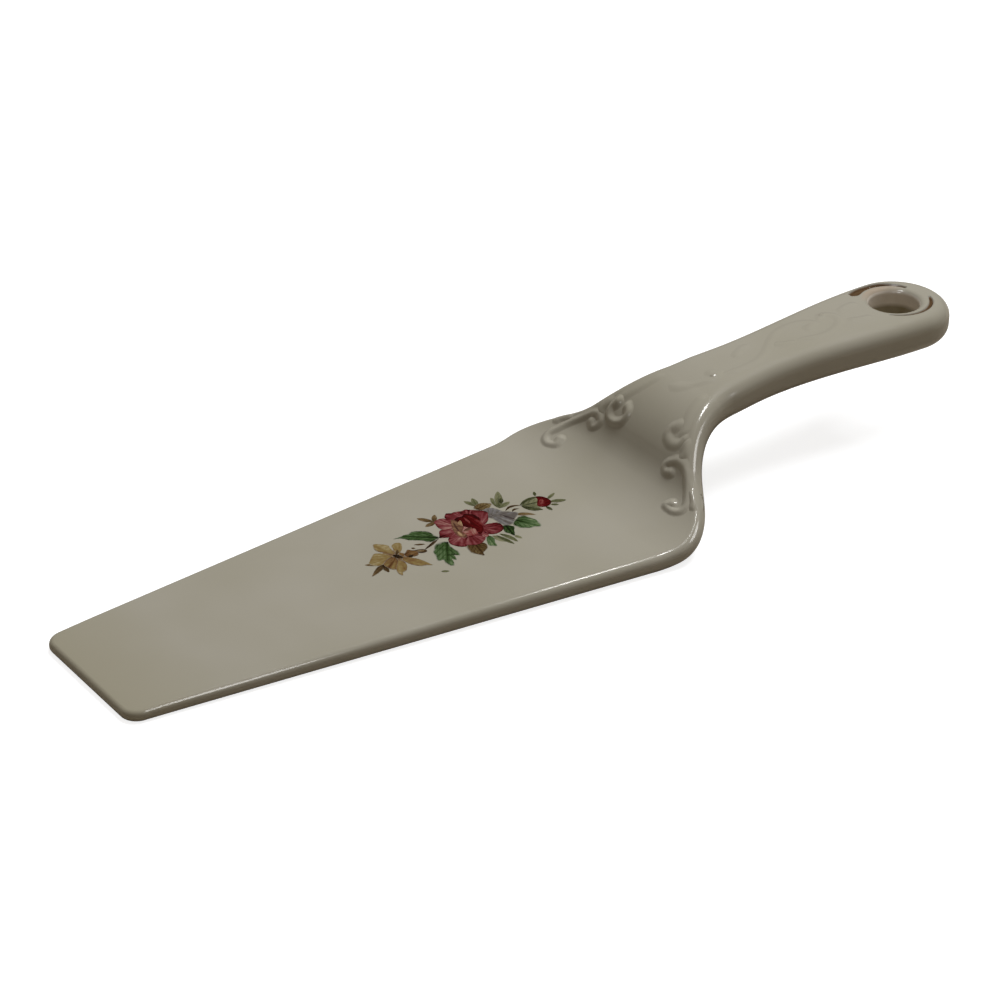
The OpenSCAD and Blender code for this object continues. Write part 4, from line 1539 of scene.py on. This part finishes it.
# The groups of motifs from the lowest layer to the highest
PRINTS = (
    Print("grass_strokes", "green_enamel", INKS["sage"], (
        Strip((2.6, -6.6), (3.7, -10.6), 1.7, (0.6, 0.9)),
        Strip((3.4, -7.0), (4.6, -12.5), 1.2, (0.2, 0.45)),
        Strip((4.4, -6.8), (5.8, -12.1), 1.3, (0.3, 0.6), bow=0.3),
        Strip((6.7, -9.2), (7.4, -11.5), 1.0, (0.6, 0.8)),
        Strip((-15.3, -12.7), (-13.7, -13.7), 0.9, (0.4, 0.6)),
    )),
    Print("flower_stems", "brown_enamel", INKS["umber"], (
        Strip((-13.2, -2.9), (-7.2, -0.1), 0.8, (0.15, 0.2), bow=-0.15),
        Strip((-13.9, 0.3), (-11.6, -0.9), 0.7, (0.3, 0.4)),
        Strip((-15.1, -0.5), (-14.5, -1.2), 0.7, (0.3, 0.4)),
        Strip((11.3, 0.7), (15.7, 0.7), 0.8, (0.15, 0.25), bow=0.9),
        Strip((12.4, -0.5), (14.5, -0.3), 0.7, (0.2, 0.3), bow=0.5),
    )),
    Print("brown_leaves", "brown_enamel", INKS["umber"], (
        Strip((-4.7, 6.1), (-6.9, 9.7), 1.5, (0.3, 0.7)),
        Strip((-4.6, 6.1), (-2.7, 8.7), 1.3, (0.3, 0.75)),
        Strip((-4.2, 5.8), (-7.4, 5.4), 1.4, (0.35, 0.7)),
        Petal(((12.2, -1.9), (13.4, -1.8), (14.5, -2.4), (15.4, -3.4), (16.0, -4.8), (14.8, -4.1),
            (13.4, -3.4)), (12.0, -1.8), (0.5, 0.75)),
    )),
    Print("fern_leaves", "grey_green_enamel", INKS["sage"], (
        Strip((7.4, 6.2), (6.1, 9.9), 1.4, (0.3, 0.7)),
        Strip((7.4, 6.2), (8.4, 9.9), 1.5, (0.3, 0.7)),
        Strip((11.0, 2.4), (12.0, 7.6), 1.6, (0.35, 0.7)),
        Strip((11.0, 2.6), (15.0, 9.1), 2.0, (0.3, 0.75)),
        Strip((11.0, 2.6), (14.5, 3.6), 1.5, (0.35, 0.7)),
        Strip((12.4, 4.0), (13.8, 6.2), 1.3, (0.1, 0.3)),
    )),
    Print("lily_bud", "brown_enamel", INKS["umber"], (
        Petal(((-24.0, -2.7), (-25.6, -3.0), (-27.4, -4.2), (-28.9, -5.7), (-27.0, -5.3),
            (-25.0, -4.4), (-24.0, -3.6)), (-24.0, -3.2), (0.1, 0.7)),
        Strip((-24.4, -3.5), (-24.8, -6.3), 1.2, (0.1, 0.4)),
        Strip((-24.6, -2.6), (-27.5, -0.6), 1.0, (0.4, 0.7)),
        Petal(((-15.7, -1.6), (-14.2, -1.9), (-13.0, -2.6), (-12.9, -3.7), (-14.0, -3.9), (-15.2, -3.0)),
            (-15.8, -2.0), (0.0, 0.3)),
        Strip((-14.9, -2.2), (-13.4, -3.2), 0.7, (0.6, 0.8)),
    )),
    Print("rose_leaves", "green_enamel", INKS["green"], (
        Petal(((-7.5, -0.2), (-7.8, 1.4), (-8.0, 3.2), (-9.0, 4.2), (-10.2, 5.1), (-11.2, 5.5),
            (-12.4, 5.0), (-13.6, 5.2), (-14.8, 5.1), (-16.2, 5.1), (-15.0, 4.5), (-14.2, 3.6),
            (-13.6, 2.6), (-12.4, 1.6), (-11.2, 0.6), (-10.6, -0.6), (-9.4, -1.0), (-8.2, -0.8)),
            (-7.2, -0.4), (0.45, 0.7)),
        Petal(((-7.0, -2.8), (-7.4, -4.4), (-7.6, -6.2), (-7.4, -7.8), (-8.0, -9.4), (-8.4, -8.8),
            (-8.8, -8.0), (-9.2, -9.4), (-9.8, -10.7), (-10.4, -9.8), (-10.8, -11.2), (-11.6, -12.3),
            (-12.3, -11.6), (-12.4, -10.0), (-12.2, -9.0), (-13.2, -8.8), (-13.2, -7.8), (-12.6, -6.6),
            (-12.2, -5.0), (-11.2, -3.8), (-10.2, -2.6), (-8.8, -2.2)), (-6.9, -2.4), (0.5, 0.8)),
        Petal(((7.3, -4.3), (8.6, -5.4), (8.9, -6.4), (8.0, -7.6), (7.2, -9.0), (6.7, -9.6),
            (6.3, -8.2), (5.8, -7.2), (6.2, -5.8), (6.8, -4.8)), (7.6, -4.0), (0.3, 0.5)),
        Petal(((9.2, -5.2), (9.8, -4.4), (11.0, -3.8), (12.2, -3.2), (13.4, -3.4), (14.0, -4.6),
            (14.6, -6.2), (14.6, -7.6), (14.3, -9.2), (13.6, -9.6), (12.6, -8.9), (11.8, -8.9),
            (10.8, -8.4), (9.9, -7.6), (9.4, -6.4)), (10.4, -3.6), (0.45, 0.95)),
        Petal(((-0.4, -9.6), (0.6, -7.2), (1.6, -6.0), (2.4, -6.8), (2.2, -8.2), (1.4, -9.6),
            (1.0, -10.9), (0.2, -10.4)), (1.8, -5.6), (0.6, 0.9)),
    )),
    Print("ochre_leaves", "ochre_enamel", INKS["olive"], (
        Petal(((6.0, 5.7), (7.2, 6.8), (8.6, 6.9), (9.8, 6.2), (10.6, 5.2), (9.6, 4.2), (8.2, 3.6),
            (7.0, 4.3)), (5.8, 5.0), (0.5, 0.95)),
        Petal(((-4.6, -6.8), (-5.2, -8.6), (-5.3, -10.0), (-4.6, -11.4), (-4.0, -12.4), (-3.6, -12.6),
            (-3.2, -11.6), (-2.2, -11.0), (-1.2, -10.4), (-0.6, -9.2), (-0.6, -8.2), (-1.6, -7.4),
            (-3.0, -6.8)), (-2.4, -6.0), (0.35, 0.7)),
    )),
    Print("rosebud_sepals", "grey_green_enamel", INKS["sage"], (
        Strip((20.7, 2.2), (21.6, 4.0), 0.8, (0.2, 0.4)),
        Strip((22.2, -0.5), (25.2, 0.9), 1.0, (0.4, 0.7)),
        Strip((21.8, -1.7), (25.5, -3.3), 1.5, (0.35, 0.6)),
        Strip((21.4, -2.9), (22.9, -4.0), 0.9, (0.3, 0.4)),
        Strip((20.0, -2.9), (20.2, -5.3), 0.9, (0.1, 0.3)),
        Petal(((15.5, 0.6), (16.6, 1.5), (18.0, 2.2), (19.6, 2.0), (20.9, 1.2), (20.6, 0.0),
            (20.2, -1.2), (19.4, -2.4), (18.2, -3.0), (17.0, -2.4), (16.2, -1.3), (15.7, -0.2)),
            (15.4, 0.4), (0.3, 0.8)),
        Strip((15.4, 0.8), (21.6, 1.5), 1.2, (0.15, 0.35), bow=0.7),
        Strip((15.5, 0.3), (18.7, -3.8), 1.6, (0.1, 0.35), bow=-0.45),
        Strip((16.2, 0.3), (19.8, -0.4), 0.6, (0.1, 0.3)),
    )),
    Print("violet_petals", "lilac_enamel", INKS["lilac"], (
        Petal(((6.5, 0.8), (6.7, 3.0), (8.0, 4.1), (9.6, 3.6), (10.4, 2.0), (10.6, 0.9), (8.6, 0.6)),
            (7.0, 0.0), (0.5, 0.9)),
        Petal(((6.6, 0.8), (8.6, 0.9), (10.6, 0.9), (12.2, -0.4), (13.2, -1.6), (12.0, -2.8),
            (10.6, -3.4), (9.2, -2.6), (8.0, -1.6), (7.0, -0.6)), (7.0, 0.2), (0.55, 0.75)),
        Petal(((7.2, 0.2), (8.8, -0.2), (9.8, -1.6), (10.5, -3.2), (10.4, -4.2), (9.2, -5.0),
            (8.0, -4.6), (7.3, -3.6), (7.1, -2.0)), (7.6, 0.4), (0.65, 0.8)),
        Strip((9.6, -0.6), (10.9, -3.8), 0.8, (0.1, 0.3)),
    )),
    Print("lily_petals", "ochre_enamel", INKS["lily"], (
        Petal(((-21.8, 1.2), (-20.2, 2.0), (-19.0, 1.2), (-18.2, -0.6), (-17.4, -2.4), (-18.6, -4.0),
            (-20.0, -4.8), (-21.8, -3.8), (-22.8, -2.0), (-22.6, -0.2)), (-19.6, -1.6), (0.3, 0.6)),
        Petal(((-22.4, 1.9), (-23.4, 2.1), (-24.6, 1.2), (-25.6, 0.2), (-26.4, -0.6), (-26.2, -1.8),
            (-25.2, -2.8), (-24.0, -2.8), (-22.6, -2.4), (-21.4, -1.8), (-20.4, -1.0), (-21.2, 0.6)),
            (-19.8, -1.4), (0.6, 0.9)),
        Petal(((-24.0, -2.8), (-22.4, -1.6), (-21.2, -1.2), (-20.2, -1.6), (-20.4, -3.4),
            (-21.2, -5.0), (-22.4, -6.2), (-23.4, -6.0), (-24.0, -4.6)), (-20.0, -1.6), (0.3, 0.6)),
        Petal(((-18.6, 1.6), (-18.2, 2.8), (-17.2, 3.4), (-16.4, 3.2), (-15.9, 2.6), (-16.2, 1.6),
            (-17.0, 0.4), (-17.8, -0.4), (-19.2, -1.2), (-19.0, 0.4)), (-19.4, -1.6), (0.5, 0.85)),
        Petal(((-22.0, 2.6), (-22.1, 3.8), (-21.6, 5.2), (-21.0, 5.7), (-20.2, 5.2), (-19.2, 4.2),
            (-18.7, 3.4), (-18.9, 2.2), (-19.2, 0.6), (-19.6, -0.9), (-20.6, 0.4), (-21.4, 1.6)),
            (-19.6, -1.6), (0.55, 0.9)),
        Petal(((-20.2, -3.0), (-19.6, -4.2), (-19.8, -5.8), (-20.6, -7.2), (-21.4, -8.0),
            (-22.4, -8.2), (-23.0, -9.2), (-23.4, -8.4), (-23.2, -7.0), (-22.4, -5.6), (-21.2, -4.2)),
            (-19.8, -2.2), (0.5, 0.75)),
        Petal(((-19.0, -2.6), (-18.0, -3.2), (-17.2, -4.2), (-16.4, -5.4), (-15.9, -6.8),
            (-15.3, -9.3), (-16.4, -8.6), (-17.6, -8.2), (-18.8, -6.8), (-19.4, -5.2), (-19.6, -3.6)),
            (-19.4, -2.0), (0.55, 0.85)),
        Petal(((-18.2, -2.2), (-17.0, -1.2), (-16.2, -0.6), (-15.6, -1.4), (-14.9, -2.2),
            (-15.0, -3.4), (-15.8, -4.0), (-17.0, -3.8), (-18.0, -3.2)), (-18.8, -2.4), (0.15, 0.45)),
    )),
    Print("lily_heart", "brown_enamel", INKS["umber"], (
        Strip((-20.1, -0.6), (-19.0, -3.2), 1.5, (-0.1, 0.1)),
        Strip((-19.4, -1.2), (-18.1, 0.6), 0.8, (0.2, 0.5)),
        Strip((-17.8, -3.6), (-16.4, -3.3), 1.0, (0.0, 0.1)),
    )),
    Print("rosebud_petals", "crimson_enamel", INKS["crimson"], (
        Petal(((20.6, 1.8), (21.6, 1.4), (22.2, 0.4), (22.4, -0.8), (22.2, -2.0), (21.2, -2.9),
            (20.0, -3.1), (19.0, -2.6), (18.6, -1.6), (19.4, -0.4), (20.2, 0.6)),
            (18.4, -1.4), (0.6, 0.25)),
        Strip((19.6, -1.6), (21.2, 0.4), 1.1, (0.6, 0.65)),
    )),
    Print("rose_petals", "pink_enamel", INKS["pink"], (
        Petal(((-4.6, 4.6), (-3.2, 5.8), (-1.2, 5.4), (1.0, 5.2), (3.4, 5.4), (5.4, 4.0), (6.2, 2.2),
            (5.2, 0.0), (3.8, -1.8), (3.2, -4.2), (1.6, -5.4), (-0.4, -6.0), (-3.0, -5.8),
            (-5.4, -5.4), (-5.9, -3.6), (-5.6, -1.6), (-5.0, 0.4), (-4.9, 2.4)),
            (-1.4, -1.2), (0.95, 0.3)),
        Petal(((-1.6, 6.2), (-0.8, 7.2), (-0.2, 7.5), (0.6, 7.0), (1.4, 7.0), (2.6, 6.6), (3.4, 6.0),
            (2.6, 5.0), (1.6, 4.2), (0.4, 4.4), (-0.6, 4.6), (-1.6, 5.0)), (1.6, 3.6), (0.7, 0.3)),
        Petal(((2.4, 6.2), (3.6, 6.4), (4.2, 6.5), (5.2, 5.6), (5.8, 5.0), (5.2, 3.8), (4.4, 2.8),
            (3.0, 4.2), (2.2, 4.2)), (3.0, 3.0), (0.6, 0.35)),
        Petal(((4.2, 4.2), (5.2, 5.2), (6.4, 4.6), (7.3, 3.6), (7.6, 2.4), (7.0, 1.4), (6.4, 0.4),
            (5.6, -0.6), (4.4, -1.4), (3.4, -1.6), (3.4, 0.0), (4.2, 1.6), (4.4, 3.0)),
            (2.6, -1.6), (0.65, 0.25)),
        Petal(((-5.9, 1.9), (-4.8, 2.0), (-3.6, 1.2), (-3.2, 0.2), (-3.4, -1.2), (-4.6, -1.9),
            (-5.8, -1.6), (-7.0, -0.9), (-7.5, -0.5), (-6.8, 0.6)), (-2.6, -0.2), (0.75, 0.2)),
        Petal(((-6.0, -1.9), (-4.6, -1.8), (-3.7, -2.6), (-3.4, -3.8), (-3.4, -5.0), (-4.2, -6.8),
            (-5.2, -7.0), (-6.4, -5.8), (-7.0, -4.4), (-6.8, -3.2)), (-2.6, -2.6), (0.75, 0.35)),
        Petal(((-3.4, -4.2), (-1.4, -3.8), (0.0, -4.3), (1.0, -5.2), (0.8, -6.6), (-0.4, -7.6),
            (-1.8, -8.0), (-3.0, -7.6), (-4.2, -6.8), (-4.4, -5.6)), (-1.2, -3.0), (0.3, 0.6)),
        Petal(((1.0, -5.0), (2.0, -5.0), (2.2, -5.9), (1.4, -6.4), (0.6, -6.0)), (1.2, -4.4), (0.6, 0.8)),
        Petal(((-4.7, 5.9), (-3.4, 6.4), (-2.1, 6.1), (-1.7, 5.2), (-1.2, 4.0), (-1.6, 2.8),
            (-2.4, 1.8), (-3.4, 1.0), (-4.3, 1.4), (-5.2, 2.6), (-5.2, 4.0), (-4.9, 5.1)),
            (-1.8, 1.4), (0.75, 0.5)),
        Petal(((3.3, -2.4), (4.2, -1.6), (5.4, -2.0), (6.6, -2.4), (7.1, -3.6), (6.8, -5.0),
            (5.7, -6.1), (4.0, -6.4), (2.7, -5.9), (2.0, -4.8), (2.2, -3.6)), (2.6, -2.6), (0.6, 0.25)),
    )),
    Print("rose_inner_petals", "crimson_enamel", INKS["crimson"], (
        Petal(((2.9, 4.9), (4.0, 4.1), (4.6, 2.6), (4.6, 1.2), (3.8, 0.2), (3.4, -1.2), (3.1, -2.4),
            (2.1, -3.8), (0.6, -4.7), (0.9, -3.0), (0.8, -1.6), (0.1, -0.4), (-0.5, 1.0), (-0.5, 2.6),
            (-0.6, 3.9), (0.6, 4.6), (1.8, 4.3)), (2.6, -3.4), (0.35, 0.2), (2.1, 0.6)),
        Petal(((-2.1, -1.8), (-1.4, -1.5), (0.2, -1.3), (1.2, -1.9), (0.9, -3.0), (0.2, -4.2),
            (-1.2, -4.0), (-2.2, -3.2)), (-0.6, -4.8), (0.7, 1.0)),
        Strip((3.4, -1.8), (3.0, 3.6), 0.9, (0.6, 0.4), bow=-0.3),
        Strip((1.6, 0.6), (2.0, 4.0), 0.6, (0.7, 0.5)),
    )),
    Print("rose_stamens", "ochre_enamel", INKS["stamen"], (
        Petal(((-1.0, 4.5), (-2.6, 1.8), (-3.5, -0.5), (-3.7, -2.6), (-2.8, -3.9), (-1.9, -3.2),
            (-1.9, -1.4), (-0.5, 0.4), (-0.3, 2.8)), (0.6, -1.4), (0.35, 0.7), (-2.1, -0.2)),
        Strip((-0.5, 0.6), (0.6, 3.2), 0.9, (0.9, 0.8), bow=0.3),
        Strip((-1.6, -1.3), (0.9, -1.0), 0.9, (0.35, 0.4)),
        Strip((-3.0, -3.0), (-2.7, -0.6), 0.7, (0.9, 1.0)),
        Strip((-2.4, -0.6), (-1.3, 3.2), 0.5, (0.1, 0.2)),
    )),
)


@dataclass(frozen=True)
class FlowerTransfer:
    """The spray: a rose with a bud, a yellow lily and a lilac flower among their leaves."""

    form: ServerForm
    # Station and side distance of the rose's middle
    rose: Pair = (99.0, 3.7)

    def build(self) -> list[Piece]:
        """Builds the whole transfer, each group over the ones before it.

        Returns:
            One piece for each group.
        """
        pieces, below = [], 0
        for group in PRINTS:
            pieces.append(group.build(self.form, self.rose, below))
            below += len(group.motifs)
        return pieces


# The studio


@dataclass(frozen=True)
class Lamp:
    """A round lamp that faces the server's middle, with its place and width in metres and its watts."""

    name: str
    place: Point
    width: float
    power: float

    def build(self) -> Piece:
        """Makes the lamp.

        Returns:
            Its object.
        """
        data = bpy.data.lights.new(self.name, "AREA")
        data.shape, data.size, data.energy = "DISK", self.width, self.power
        lamp = bpy.data.objects.new(self.name, data)
        bpy.context.scene.collection.objects.link(lamp)
        lamp.location = self.place
        lamp.rotation_mode = "QUATERNION"
        lamp.rotation_quaternion = (-Vector(self.place)).to_track_quat("-Z", "Y")
        return lamp


@dataclass(frozen=True)
class Studio:
    """A pale table in a white room, a large soft lamp over it, small ones for the glints, and the camera."""

    # The camera looks at this place from these angles in degrees, and from this far in metres
    aim: Point = (-0.01195, -0.00056, 0.0108)
    azimuth: float = -34.91
    elevation: float = 29.60
    distance: float = 0.702
    lens_mm: float = 112.8
    sensor_mm: float = 36.0
    # Strength of the room's own light, and of what the glaze mirrors of it
    ambient: float = 0.235
    gloss: float = 0.05
    # The table lights the underside like linen, and is seen half lit and half glowing, which shows white
    linen: Point = (0.30, 0.26, 0.21)
    seen: Point = (0.45, 0.45, 0.45)
    glow: float = 0.82
    table_half: float = 6.0
    table_drop: float = 2e-5
    ceiling: Lamp = Lamp("ceiling_light", (0.56, 0.21, 1.26), 1.0, 22.0)
    ceiling_tint: Point = (0.92, 0.96, 1.0)
    glints: tuple[Lamp, ...] = (
        Lamp("shoulder_glint", (0.06, -0.055, 0.05), 0.03, 0.017),
        Lamp("bud_glint", (0.06, 0.0, 0.14), 0.03, 0.06),
        Lamp("edge_glint", (-0.06, -0.095, 0.12), 0.07, 0.10),
    )

    def camera(self) -> None:
        """Makes the camera at the photograph's place."""
        data = bpy.data.cameras.new("studio_camera")
        data.lens, data.sensor_width = self.lens_mm, self.sensor_mm
        data.clip_start, data.clip_end = 0.05, 20.0
        camera = bpy.data.objects.new("studio_camera", data)
        bpy.context.scene.collection.objects.link(camera)
        a, e = math.radians(self.azimuth), math.radians(self.elevation)
        back = Vector((math.sin(a) * math.cos(e), -math.cos(a) * math.cos(e), math.sin(e)))
        camera.location = Vector(self.aim) + back * self.distance
        camera.rotation_mode = "QUATERNION"
        camera.rotation_quaternion = (-back).to_track_quat("-Z", "Y")
        bpy.context.scene.camera = camera

    def world(self) -> None:
        """Makes an even, dim, warm room that the camera sees as white."""
        world = bpy.data.worlds.new("white_room")
        bpy.context.scene.world = world
        world.use_nodes = True
        nodes, links = world.node_tree.nodes, world.node_tree.links
        nodes.clear()
        path = nodes.new("ShaderNodeLightPath")
        shades = []
        warm, white = (0.98, 0.88, 0.77, 1.0), (1.0, 1.0, 1.0, 1.0)
        for tint, strength in ((warm, self.ambient), (white, self.gloss), (white, 1.0)):
            shade = nodes.new("ShaderNodeBackground")
            shade.inputs["Color"].default_value = tint
            shade.inputs["Strength"].default_value = strength
            shades.append(shade.outputs[0])
        seen = shades[0]
        for ray, shade in (("Is Glossy Ray", shades[1]), ("Is Camera Ray", shades[2])):
            mix = nodes.new("ShaderNodeMixShader")
            links.new(path.outputs[ray], mix.inputs[0])
            links.new(seen, mix.inputs[1])
            links.new(shade, mix.inputs[2])
            seen = mix.outputs[0]
        links.new(seen, nodes.new("ShaderNodeOutputWorld").inputs[0])

    def table(self) -> None:
        """Makes the pale table, which shows white round the object's soft shadow."""
        g = Graph("white_table")
        path = g.add("LightPath")
        linen = g.add("BsdfDiffuse", Color=(*self.linen, 1.0))
        lit = g.add("BsdfDiffuse", Color=(*self.seen, 1.0))
        glow = g.add("Emission", Color=(1.0, 1.0, 1.0, 1.0), Strength=self.glow)
        seen = g.add("AddShader", in_0=lit.outputs[0], in_1=glow.outputs[0])
        camera = path.outputs["Is Camera Ray"]
        both = g.add("MixShader", in_0=camera, in_1=linen.outputs[0], in_2=seen.outputs[0])
        g.add("OutputMaterial", Surface=both.outputs[0])
        mesh = bpy.data.meshes.new("table")
        half = self.table_half
        corners = [(-half, -half), (half, -half), (half, half), (-half, half)]
        mesh.from_pydata([(x, y, -self.table_drop) for x, y in corners], [], [(0, 1, 2, 3)])
        mesh.materials.append(g.material)
        table = bpy.data.objects.new("table", mesh)
        bpy.context.scene.collection.objects.link(table)

    def build(self) -> None:
        """Sets the whole studio up."""
        bpy.context.scene.view_settings.view_transform = "Standard"
        self.camera()
        self.world()
        self.table()
        # The large lamp only lights, and the glaze mirrors the small ones, which light nothing else
        ceiling = self.ceiling.build()
        ceiling.data.color = self.ceiling_tint
        ceiling.visible_glossy = False
        for lamp in self.glints:
            glint = lamp.build()
            glint.visible_diffuse = False
            glint.visible_camera = False


def main() -> None:
    """Builds the server and its studio, and reports each piece."""
    logging.basicConfig(level=logging.INFO, format="%(name)s: %(message)s")
    form = ServerForm()
    far_groove = Groove(head=132.0, tail=30.0, sweep=2.0, head_share=0.10, width=2.6, tail_share=0.25)
    near_groove = Groove(head=-20.0, tail=-138.0, sweep=1.0, head_share=0.3, width=1.15, depth=0.65)
    porcelain, stain = GlazedPorcelain().build(), FiredStain().build()
    pieces = Casting(form, (far_groove, near_groove)).build(porcelain)
    pieces += Scrollwork(form).build(porcelain)
    pieces.append(StainedGroove(form, far_groove, "far_groove_stain").build(stain))
    pieces.append(StainedGroove(form, near_groove, "near_groove_stain").build(stain))
    pieces += FlowerTransfer(form).build()
    for piece in pieces:
        LOG.info("%s: %d faces", piece.name, len(piece.data.polygons))
    Studio().build()


if __name__ == "__main__":
    main()
